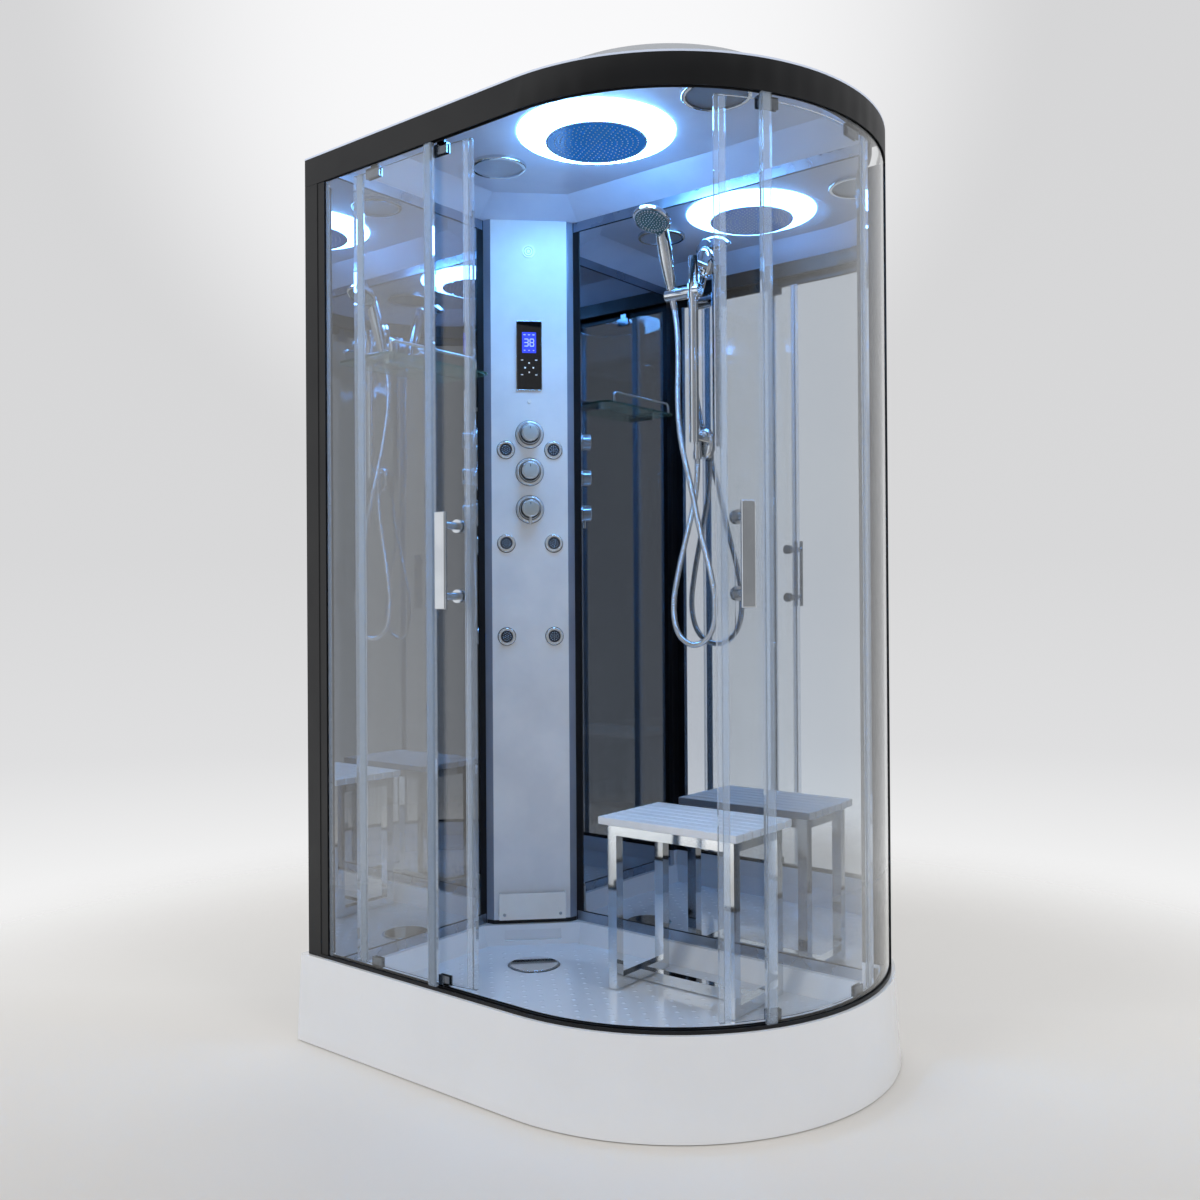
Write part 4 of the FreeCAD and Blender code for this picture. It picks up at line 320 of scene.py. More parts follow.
# Hot-dip galvanised tube: dull grey metal with a cloudy bloom.
GALVANISED = SolidFinish(
    "galvanised_steel", "#A9ADB0", "#8C9195", Grain.MOULDED, 9.0, 0.02, (0.38, 0.55), metallic=1.0,
    mottle_mm=18.0)
# Moulded black nylon: a matt, slightly pebbled plastic.
BLACK_NYLON = SolidFinish("moulded_nylon", "#2A2A2D", "#1F1F21", Grain.MOULDED, 1.0, 0.04, (0.45, 0.6))
# Moulded grey polypropylene: a waxy mid grey.
GREY_POLYPROPYLENE = SolidFinish(
    "moulded_polypropylene", "#93979A", "#84898C", Grain.MOULDED, 1.4, 0.04, (0.35, 0.48))
# Chrome plate over polished brass: a clean mirror with only a slow wave.
CHROME = SolidFinish(
    "polished_chrome_plate", "#E6E9EC", "#D9DDE1", Grain.POLISHED, 30.0, 0.01, (0.03, 0.08), metallic=1.0)
# Black nickel plate over die-cast zinc: a smoky mirror, darker than chrome.
BLACK_NICKEL = SolidFinish(
    "black_nickel_plate", "#6E747C", "#5F656D", Grain.POLISHED, 20.0, 0.01, (0.06, 0.13), metallic=1.0)
# Brushed nickel under chrome: a soft, pale sheen along the brushing.
SATIN_CHROME = SolidFinish(
    "brushed_chrome", "#D3D8DE", "#C3C9D0", Grain.BRUSHED_UP, 0.8, 0.01, (0.18, 0.28), metallic=1.0)
# Anodised extruded aluminium: satin, with draw lines along the profile.
ANODISED = SolidFinish(
    "anodised_aluminium", "#A9B4C4", "#98A4B5", Grain.BRUSHED_ALONG, 0.8, 0.012, (0.22, 0.34), metallic=1.0)
# Tinted float glass silvered on its back: a dark, clean mirror.
MIRROR_GLASS = SolidFinish(
    "silvered_grey_glass", "#B8BDC4", "#B5BAC2", Grain.POLISHED, 220.0, 0.02, (0.0, 0.015), metallic=1.0,
    mottle_mm=400.0)
# EPDM rubber of seals and trims: a soft, dull black, which also paints the dark rings of shade in the gaps
# round the knobs and jets.
BLACK_RUBBER_AND_PAINTED_SHADE = SolidFinish("epdm_rubber_and_painted_shade", "#161719", "#0F1012", Grain.MOULDED, 0.9, 0.03, (0.5, 0.65))
# Pearl lacquer on folded aluminium: a cool satin with the sheet's brushing under it.
CASING_LACQUER = SolidFinish(
    "pearl_lacquered_aluminium", "#EFEDEC", "#E4E3E4", Grain.BRUSHED_UP, 1.2, 0.01, (0.36, 0.46),
    metallic=0.12, coat=0.2, coat_roughness=0.25)
# The casing's side folds, a darker blue-grey than its lacquered face: painted shade, for the dark that the
# angled folds reflect.
CASING_SIDES_PAINTED_SHADE = SolidFinish(
    "blue_grey_sheet_painted_shade", "#9FA6B6", "#949CAE", Grain.BRUSHED_UP, 1.0, 0.01, (0.3, 0.4),
    metallic=0.35)
# Moulded white ABS of the steam outlet and the round disc: glossy, a warmer white than the casing.
STEAM_ABS = SolidFinish(
    "moulded_white_abs", "#FBF8F2", "#F3EFE9", Grain.CAST, 14.0, 0.03, (0.12, 0.2), coat=0.5)
# Zinc-coated sheet, as rolled: plain grey, dull.
ZINC_SHEET = SolidFinish(
    "zinc_coated_sheet", "#A3A8AD", "#949A9F", Grain.BRUSHED_UP, 2.0, 0.02, (0.35, 0.5), metallic=0.9)
# Rolled stainless steel: even, greyish, half bright.
STAINLESS = SolidFinish(
    "rolled_stainless_steel", "#B9BBBD", "#A9ABAD", Grain.BRUSHED_UP, 0.9, 0.01, (0.25, 0.36), metallic=1.0)
# Polished black acrylic: a deep, wet black.
BLACK_ACRYLIC = SolidFinish(
    "polished_black_acrylic", "#0B0C0F", "#08090B", Grain.POLISHED, 60.0, 0.01, (0.03, 0.06), coat=1.0,
    coat_roughness=0.02)
# Liquid crystal behind glass, lit from behind: an even bright blue.
LIT_DISPLAY = SolidFinish(
    "backlit_liquid_crystal", "#2E3FC8", "#2635B8", Grain.POLISHED, 30.0, 0.005, (0.08, 0.12), glow=0.8,
    glow_colour="#3A4CE0", mottle_mm=40.0)
# Screen print in white ink: thin and slightly raised.
PRINT_INK = SolidFinish(
    "white_screen_print", "#F4F8FC", "#EAF0F6", Grain.MOULDED, 0.5, 0.01, (0.4, 0.5), glow=0.2)
# Sand-cast brass: warm and grainy.
BRASS = SolidFinish("cast_brass", "#B5914F", "#9E7C3E", Grain.MOULDED, 1.8, 0.08, (0.3, 0.45), metallic=1.0)
# Drawn copper tube: warm, smooth, slightly dulled.
COPPER = SolidFinish(
    "drawn_copper", "#BE8360", "#A36A4A", Grain.BRUSHED_ALONG, 1.2, 0.01, (0.22, 0.38), metallic=1.0,
    mottle_mm=40.0)
# Silicone rubber nozzles: pale, matt and a little translucent.
NOZZLE_SILICONE = SolidFinish(
    "moulded_silicone", "#DCE8F4", "#C9D9EA", Grain.MOULDED, 0.8, 0.01, (0.4, 0.5))
# Moulded ABS of the jet inserts: a dark blue-grey, semi-matt.
JET_ABS = SolidFinish("moulded_dark_abs", "#2D3440", "#232934", Grain.MOULDED, 0.9, 0.02, (0.3, 0.42))
# Grey silicone of the jets' nozzles and the disc's rings: matt, between the dark plate and the white disc.
JET_SILICONE = SolidFinish("grey_silicone", "#98A4B2", "#8793A1", Grain.MOULDED, 0.8, 0.01, (0.4, 0.5))
# Chrome plate over moulded ABS: bright, a little softer and whiter than plated brass.
CHROMED_ABS = SolidFinish(
    "chrome_plated_abs", "#EEF0F1", "#E3E6E9", Grain.POLISHED, 12.0, 0.01, (0.08, 0.16), metallic=0.72,
    coat=0.3)
# Fine-turned and lacquered brass of the knobs' discs: an even, warm grey with no mirror left.
TURNED_SATIN = SolidFinish(
    "fine_turned_satin_plate", "#C4C5C0", "#B9BAB5", Grain.POLISHED, 0.6, 0.004, (0.42, 0.52),
    metallic=0.55)
# Moulded blue-grey ABS of the hand shower's face.
SPRAY_ABS = SolidFinish(
    "moulded_blue_grey_abs", "#41727F", "#366573", Grain.MOULDED, 0.9, 0.02, (0.28, 0.4))
# Blue acrylic rose: a saturated blue with a faint painted glow.
RAIN_ACRYLIC = SolidFinish(
    "blue_acrylic_painted_glow", "#1D5FB8", "#1853A6", Grain.POLISHED, 40.0, 0.01, (0.12, 0.2), coat=0.6, glow=0.42,
    glow_colour="#1C80D8")
# Vacuum-formed ABS ceiling: a soft satin white, cool in the light of the ring.
CEILING_ABS = SolidFinish(
    "vacuum_formed_abs", "#DDE6FA", "#D2DDF4", Grain.CAST, 60.0, 0.05, (0.28, 0.4), coat=0.2,
    coat_roughness=0.2)
# The same sheet outside, left grey and matt.
ROOF_ABS = SolidFinish("grained_abs_sheet", "#A6AAB0", "#999EA5", Grain.MOULDED, 2.2, 0.06, (0.45, 0.6))
# Opal acrylic with lamps behind it: an even blue-white light.
OPAL_ACRYLIC = SolidFinish(
    "lit_opal_acrylic", "#EAF5FF", "#E2F0FF", Grain.CAST, 50.0, 0.02, (0.2, 0.3), glow=36.0,
    glow_colour="#70B8FF")
# Lamp strip on its board: the brightest thing in the cabin, behind the opal ring.
LAMP_STRIP = SolidFinish(
    "lamp_strip", "#F6FAFF", "#E9F2FF", Grain.MOULDED, 4.0, 0.1, (0.3, 0.4), glow=36.0,
    glow_colour="#70B8FF")
# Acetal wheels: a dense, creamy white plastic.
ACETAL = SolidFinish("turned_acetal", "#E5E3DD", "#D9D6CF", Grain.MOULDED, 0.8, 0.01, (0.25, 0.35))
# Moulded polypropylene slats: a soft white, finely pebbled, drawn at twice its scale to show.
SEAT_POLYPROPYLENE = SolidFinish(
    "grained_polypropylene", "#F1F2F5", "#E8EAEE", Grain.MOULDED, 2.4, 0.05, (0.36, 0.5))
# Punched and painted steel: grey, with holes at 3 mm that are painted dark as the shade inside them.
PUNCHED_STEEL = SolidFinish(
    "punched_steel", "#8D95A0", "#4A515B", Grain.PERFORATED, 3.0, 0.3, (0.35, 0.45), metallic=0.4)
# Frosted glass lens of the lamp: pale and soft.
FROSTED_LENS = SolidFinish(
    "frosted_glass", "#C4D2E6", "#B3C3DA", Grain.MOULDED, 1.0, 0.03, (0.3, 0.42), coat=0.4)
# Toughened float glass: nearly colourless, with a trace of blue.
FLOAT_GLASS = ClearFinish("toughened_float_glass", "#FAFCFD", 0.0)
# The shelf's edge is seen along the glass, so its green shows.
SHELF_GLASS = ClearFinish("polished_edge_glass", "#D2EFE6", 0.0, haze=0.06, haze_colour="#9FD8C6")
# Extruded clear vinyl, thin-walled, so it bends light little: a glassy strip with a trace of milk.
CLEAR_VINYL = ClearFinish(
    "extruded_clear_vinyl", "#F2F6FB", 0.01, ior=1.1, haze=0.15, haze_colour="#D2DCE8", wave_depth_mm=0.005)
# The walls' profiles: the upright strips are coated black, the head and base rails are bare satin metal.
WALL_PROFILES = ZonedFinish(
    "coated_and_bare_aluminium", BLACK_COAT, ANODISED, (0.0, 0.0, 1096.0), (0.0, 0.0, 1.0), 920.0)
# The column's casing: a lacquered face between side folds that are painted darker as shade.
CASING_PARTS = ZonedFinish(
    "lacquered_face_and_shaded_sides", CASING_LACQUER, CASING_SIDES_PAINTED_SHADE, (-457.1, 257.1, 0.0),
    (1.0, 1.0, 0.0), 102.6)
# The lamp: a chromed rim round a frosted lens.
LAMP_PARTS = ZonedFinish(
    "chromed_rim_and_frosted_glass", FROSTED_LENS, CHROME, (-330.0, 7.0, 0.0), (1.0, 1.0, 0.0), 60.0)
# The loudspeaker: a chromed rim round a punched steel disc.
SPEAKER_PARTS = ZonedFinish(
    "chromed_rim_and_punched_steel", PUNCHED_STEEL, CHROME, (303.0, 7.0, 0.0), (1.0, 1.0, 0.0), 67.0)


# ---- Meshes ----------------------------------------------------------------------------

def mesh_object(name: str, shape: Shape, finish: Finish, smooth: bool = True) -> bpy.types.Object:
    """Makes an object from points and faces, with its normals outward.

    Args:
        name: the piece's name.
        shape: its points, and its faces as numbers of points.
        finish: what it is made of.
        smooth: whether it is shaded smooth.

    Returns:
        The new object, in the scene.
    """
    mesh = bpy.data.meshes.new(name)
    mesh.from_pydata(shape[0], [], shape[1])
    work = bmesh.new()
    work.from_mesh(mesh)
    bmesh.ops.recalc_face_normals(work, faces=work.faces)
    for face in work.faces:
        face.smooth = smooth
    work.to_mesh(mesh)
    work.free()
    mesh.materials.append(finish.material())
    made = bpy.data.objects.new(name, mesh)
    bpy.context.scene.collection.objects.link(made)
    return made


def lathe(profile: Sequence[Pair], place: Matrix, segments: int = 64) -> Shape:
    """Turns a profile of (radius, height) in millimetres about the local Z axis.

    Args:
        profile: the points from the axis out and round.
        place: where the local frame sits.
        segments: how many steps make the turn.

    Returns:
        The points and the faces.
    """
    points: list[Vector] = []
    rings: list[list[int]] = []
    for radius, height in profile:
        count = 1 if radius == 0 else segments
        rings.append(list(range(len(points), len(points) + count)))
        for step in range(count):
            a = math.tau * step / segments
            points.append(place @ metres(radius * math.cos(a), radius * math.sin(a), height))
    faces = []
    for low, high in zip(rings, rings[1:]):
        for step in range(segments):
            ahead = (step + 1) % segments
            corners = [low[step % len(low)], low[ahead % len(low)], high[ahead % len(high)],
                       high[step % len(high)]]
            faces.append(list(dict.fromkeys(corners)))
    return points, [face for face in faces if len(face) > 2]


def gather(parts: Iterable[Shape]) -> Shape:
    """Joins several meshes' points and faces to one."""
    points: list[Vector] = []
    faces: list[list[int]] = []
    for part_points, part_faces in parts:
        shift = len(points)
        points.extend(part_points)
        faces.extend([corner + shift for corner in face] for face in part_faces)
    return points, faces


def spread(profile: Sequence[Pair], place: Matrix, spots: Iterable[Pair], segments: int = 10) -> Shape:
    """Sets one turned part on several spots of a plane.

    Args:
        profile: the part's profile, as in lathe().
        place: the plane's local frame.
        spots: where the parts stand on it, in millimetres.
        segments: how many steps make the turn of each.

    Returns:
        The points and the faces of them all.
    """
    return gather(lathe(profile, place @ Matrix.Translation(metres(x, y, 0.0)), segments) for x, y in spots)


def prism(outline: Sequence[Pair], height: float, place: Matrix) -> Shape:
    """Raises a flat outline in millimetres, slightly narrower at its top so that its edge catches light.

    Args:
        outline: its corners in the local XY plane, in order.
        height: how thick it is.
        place: where the local frame sits.

    Returns:
        The points and the faces.
    """
    count = len(outline)
    middle = [sum(axis) / count for axis in zip(*outline)]
    points = []
    for level, size in ((0.0, 1.0), (height * 0.6, 1.0), (height, 0.94)):
        for x, y in outline:
            points.append(place @ metres(middle[0] + (x - middle[0]) * size,
                                         middle[1] + (y - middle[1]) * size, level))
    faces = [list(range(count)), list(range(2 * count, 3 * count))]
    for row in (0, count):
        for i in range(count):
            j = (i + 1) % count
            faces.append([row + i, row + j, row + count + j, row + count + i])
    return points, faces


def rounded_rectangle(width: float, height: float, corner: float, steps: int = 6) -> list[Pair]:
    """Corners of a rectangle with round corners, about the origin.

    Args:
        width: its size along X.
        height: its size along Y.
        corner: the radius of its corners.
        steps: how many steps make a corner.

    Returns:
        The outline's points, in order.
    """
    points = []
    for quarter, (sx, sy) in enumerate(((1, 1), (-1, 1), (-1, -1), (1, -1))):
        for step in range(steps + 1):
            a = math.pi / 2 * (quarter + step / steps)
            points.append((sx * (width / 2 - corner) + corner * math.cos(a),
                           sy * (height / 2 - corner) + corner * math.sin(a)))
    return points


def frame_ring(outer: Sequence[Pair], width: float, height: float, place: Matrix) -> Shape:
    """A raised border that follows a closed outline, rounded across its width.

    Args:
        outer: the outline that the border's outer side follows.
        width: how wide the border is.
        height: how far it stands up.
        place: where the local frame sits.

    Returns:
        The points and the faces.
    """
    reach = max(abs(x) for x, _ in outer), max(abs(y) for _, y in outer)
    section = ((0.0, 0.0), (0.0, 0.6), (0.25, 1.0), (0.75, 1.0), (1.0, 0.6), (1.0, 0.0))
    points = []
    for inset, rise in section:
        scale = [(side - width * inset) / side for side in reach]
        points += [place @ metres(x * scale[0], y * scale[1], height * rise) for x, y in outer]
    count = len(outer)
    faces = []
    for row in range(len(section)):
        start, after = row * count, (row + 1) % len(section) * count
        faces += [[start + i, start + (i + 1) % count, after + (i + 1) % count, after + i]
                  for i in range(count)]
    return points, faces


def facing(origin: Vector, across: Vector, out: Vector) -> Matrix:
    """A local frame: X across, Z out of a face."""
    z = out.normalized()
    x = (across - z * across.dot(z)).normalized()
    y = z.cross(x)
    turn = Matrix((x, y, z)).transposed().to_4x4()
    return Matrix.Translation(origin) @ turn


def rings_of_points(pitch: float, counts: Sequence[int]) -> list[Pair]:
    """Points on rings round the origin.

    Args:
        pitch: the distance between rings.
        counts: how many points each ring has, from the inside out.

    Returns:
        The points in the plane.
    """
    points = []
    for ring, count in enumerate(counts):
        for step in range(count):
            a = math.tau * (step + 0.5 * (ring % 2)) / count
            points.append((pitch * ring * math.cos(a), pitch * ring * math.sin(a)))
    return points


# ---- The frame and its pieces ----------------------------------------------------------

@dataclass
class Cabin:
    """The CAD frame that everything is fitted to."""

    nodes: dict[str, bpy.types.Object]
    cad_box: tuple[Vector, Vector]
    dressed: set[str] = field(default_factory=set)

    @classmethod
    def load(cls) -> "Cabin":
        """Loads the frame and keeps its box."""
        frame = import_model()
        return cls(frame["nodes"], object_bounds())

    def dress(self, **finishes: Finish) -> None:
        """Gives CAD nodes their finish.

        Args:
            finishes: what each node is made of, by the node's name.
        """
        for name, finish in finishes.items():
            mesh = self.nodes[name].data
            mesh.materials.clear()
            mesh.materials.append(finish.material())
            self.dressed.add(name)
            LOG.info("dressed %s in %s", name, finish.name)

    def soften(self, width_mm: float, *names: str) -> None:
        """Breaks the sharp edges of CAD nodes so that they catch the light.

        Args:
            width_mm: how wide the broken edge is.
            names: the nodes.
        """
        for name in names:
            node = self.nodes[name]
            weld = node.modifiers.new("weld", "WELD")
            weld.merge_threshold = mm(WELD_MM)
            bevel = node.modifiers.new("edge", "BEVEL")
            bevel.width = mm(width_mm)
            bevel.segments = 2
            bevel.limit_method = "ANGLE"
            bevel.angle_limit = math.radians(SHARP_DEGREES)
            bevel.harden_normals = True

    def fit(self, piece: bpy.types.Object, slot: str, body: str = "cabin") -> None:
        """Makes a new piece ride on its body.

        Args:
            piece: the new piece, in place.
            slot: not used.
            body: the CAD body that carries it.
        """
        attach(piece, body)
        LOG.info("fitted %s on %s", piece.name, body)

    def add(self, name: str, shape: Shape, finish: Finish, slot: str, body: str = "cabin",
            smooth: bool = True) -> None:
        """Makes a new piece and fits it to its body.

        Args:
            name: the piece's name.
            shape: its points and faces, in place.
            finish: what it is made of.
            slot: the record's material slot.
            body: the CAD body that carries it.
            smooth: whether it is shaded smooth.
        """
        self.fit(mesh_object(name, shape, finish, smooth), slot, body)

    def write_sizes(self) -> None:
        """Does nothing."""


@dataclass
class SubAssembly(ABC):
    """A part of the cabin that is dressed as one."""

    cabin: Cabin

    @abstractmethod
    def build(self) -> None:
        """Makes and dresses the sub-assembly."""


@dataclass
class ShowerHose(SubAssembly):
    """Spiral metal hose from the wall outlet to the hand shower's cone."""

    radius_mm: float = 7.0
    length_mm: float = 1394.5
    pitch_mm: float = 4.2
    groove_mm: float = 1.1
    groove_sharpness: int = 4
    sides: int = 18
    steps_per_turn: int = 7
    # The route's points, from the outlet down, round and up to the cone.
    route_mm: tuple[Point, ...] = (
        (38.0, 326.0, 1362.0), (38.0, 326.0, 1293.0), (12.0, 322.0, 1190.0), (-17.0, 316.0, 1080.0),
        (-31.0, 312.0, 996.0), (-14.0, 308.0, 925.0), (42.0, 302.0, 896.0), (98.0, 295.0, 928.0),
        (112.0, 291.0, 1000.0), (98.0, 289.0, 1085.0), (66.0, 289.0, 1185.0), (44.0, 289.0, 1290.0),
        (10.0, 294.0, 1400.0), (-8.0, 306.0, 1500.0), (-15.0, 322.0, 1620.0),
        (-17.0, 321.279, 1697.79), (-17.0, 308.876, 1741.047))

    def centreline(self) -> list[Vector]:
        """Reads the smooth line that the route's points control."""
        curve = bpy.data.curves.new("hose_line", "CURVE")
        curve.dimensions = "3D"
        curve.resolution_u = 60
        spline = curve.splines.new("NURBS")
        spline.points.add(len(self.route_mm) - 1)
        for point, at in zip(spline.points, self.route_mm):
            point.co = (*metres(*at), 1.0)
        spline.order_u = 3
        spline.use_endpoint_u = True
        carrier = bpy.data.objects.new("hose_line", curve)
        mesh = bpy.data.meshes.new_from_object(carrier)
        line = [vertex.co.copy() for vertex in mesh.vertices]
        bpy.data.meshes.remove(mesh)
        bpy.data.objects.remove(carrier)
        bpy.data.curves.remove(curve)
        return line

    def even_steps(self, line: Sequence[Vector]) -> list[Vector]:
        """Walks the line in steps of a fixed part of the spiral's pitch."""
        step = mm(self.pitch_mm / self.steps_per_turn)
        walked = [line[0].copy()]
        due = step
        for a, b in zip(line, line[1:]):
            run = (b - a).length
            while due <= run:
                walked.append(a.lerp(b, due / run))
                due += step
            due -= run
        walked.append(line[-1].copy())
        return walked

    def build(self) -> None:
        path = self.even_steps(self.centreline())
        across = Vector((1.0, 0.0, 0.0))
        points: list[Vector] = []
        for i, at in enumerate(path):
            tangent = (path[min(i + 1, len(path) - 1)] - path[max(i - 1, 0)]).normalized()
            across = (across - tangent * across.dot(tangent)).normalized()
            side = tangent.cross(across)
            for k in range(self.sides):
                turn = k / self.sides
                phase = (i / self.steps_per_turn - turn) * math.tau
                groove = (0.5 + 0.5 * math.cos(phase)) ** self.groove_sharpness
                radius = mm(self.radius_mm - self.groove_mm * groove)
                a = math.tau * turn
                points.append(at + (across * math.cos(a) + side * math.sin(a)) * radius)
        faces = [list(range(self.sides)), list(range(len(points) - self.sides, len(points)))]
        for row in range(0, len(points) - self.sides, self.sides):
            for k in range(self.sides):
                ahead = (k + 1) % self.sides
                faces.append([row + k, row + ahead, row + self.sides + ahead, row + self.sides + k])
        hose = mesh_object("shower_hose_spiral", (points, faces), CHROME)
        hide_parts("shower_hose")
        self.cabin.fit(hose, "chrome")


@dataclass
class Tray(SubAssembly):
    """Tray with its anti-slip domes, and what stands under it."""

    floor_mm: float = 100.0
    # The domes: their spacing, how many rows and columns each way, and the profile of one.
    pitch_mm: float = 52.0
    rows: int = 13
    columns: int = 12
    dome_mm: tuple[Pair, ...] = ((0.0, 1.3), (2.4, 1.118), (4.5, 0.585), (6.0, 0.0))
    # The basin's sides, the middle and radius of its arc, and the room that is kept free.
    left_mm: float = -490.0
    front_mm: float = -304.0
    back_mm: float = 292.0
    arc_mm: tuple[float, float, float] = (76.0, 124.0, 428.0)
    column_reach_mm: float = 246.0
    drain_mm: tuple[float, float, float] = (-320.0, 109.0, 84.0)
    stool_feet_mm: tuple[Pair, ...] = ((-46.5, 92.0), (-46.5, 280.0), (274.5, 92.0), (274.5, 280.0))
    foot_room_mm: float = 24.0

    def is_free(self, x: float, y: float) -> bool:
        """Whether a dome may stand at a place on the basin's floor."""
        ax, ay, reach = self.arc_mm
        dx, dy, room = self.drain_mm
        corner_x, corner_y = COLUMN_CORNER_MM
        in_basin = (x > self.left_mm and self.front_mm < y < self.back_mm
                    and (x < ax or math.hypot(x - ax, y - ay) < reach)
                    and ((x - corner_x) - (y - corner_y)) / math.sqrt(2) > self.column_reach_mm)
        feet = all(math.hypot(x - fx, y - fy) > self.foot_room_mm for fx, fy in self.stool_feet_mm)
        return in_basin and feet and math.hypot(x - dx, y - dy) > room

    def dome_places(self) -> list[Pair]:
        """Places of the domes, in rows staggered by half a pitch."""
        places = []
        rise = self.pitch_mm / 2
        for row in range(-self.rows, self.rows + 1):
            for column in range(-self.columns, self.columns + 1):
                x = column * self.pitch_mm + (rise if row % 2 else 0.0)
                y = row * rise
                if self.is_free(x, y):
                    places.append((x, y))
        return places

    def build(self) -> None:
        """Dresses the tray and sets the domes on its floor."""
        self.cabin.dress(tray=TRAY_ACRYLIC, tray_frame=GALVANISED, levelling_feet=BLACK_NYLON,
                         drain_trap=GREY_POLYPROPYLENE, drain_cover=CHROME)
        plane = Matrix.Translation(metres(0.0, 0.0, self.floor_mm))
        domes = spread(self.dome_mm, plane, self.dome_places(), 20)
        self.cabin.add("tray_grip_domes", domes, TRAY_ACRYLIC, "white_acrylic")


@dataclass
class Frame(SubAssembly):
    """Posts, rails, fixed panes and the two sliding doors."""

    edge_mm: float = 0.8

    def build(self) -> None:
        """Dresses the frame, the glass and the doors' fittings, and breaks the frame's edges."""
        self.cabin.dress(bottom_track=BLACK_COAT, top_rail=BLACK_COAT, posts=BLACK_COAT,
                         fixed_glass=FLOAT_GLASS, fixed_seals=CLEAR_VINYL)
        for side in ("left", "right"):
            self.cabin.dress(**{
                f"{side}_door_glass": FLOAT_GLASS, f"{side}_door_seals": CLEAR_VINYL,
                f"{side}_door_hangers": BLACK_NICKEL, f"{side}_door_handle": SATIN_CHROME,
                f"{side}_wheel_trailing": ACETAL, f"{side}_wheel_leading": ACETAL})
        self.cabin.soften(self.edge_mm, "top_rail", "posts")


@dataclass
class Walls(SubAssembly):
    """Mirror-glass walls with their rails, and the glass shelf."""

    def build(self) -> None:
        """Dresses the walls and the shelf."""
        self.cabin.dress(wall_panel_left=MIRROR_GLASS, wall_panel_back=MIRROR_GLASS,
                         wall_rails=WALL_PROFILES, wall_seals=BLACK_RUBBER_AND_PAINTED_SHADE, shelf_glass=SHELF_GLASS,
                         shelf_fittings=CHROME)


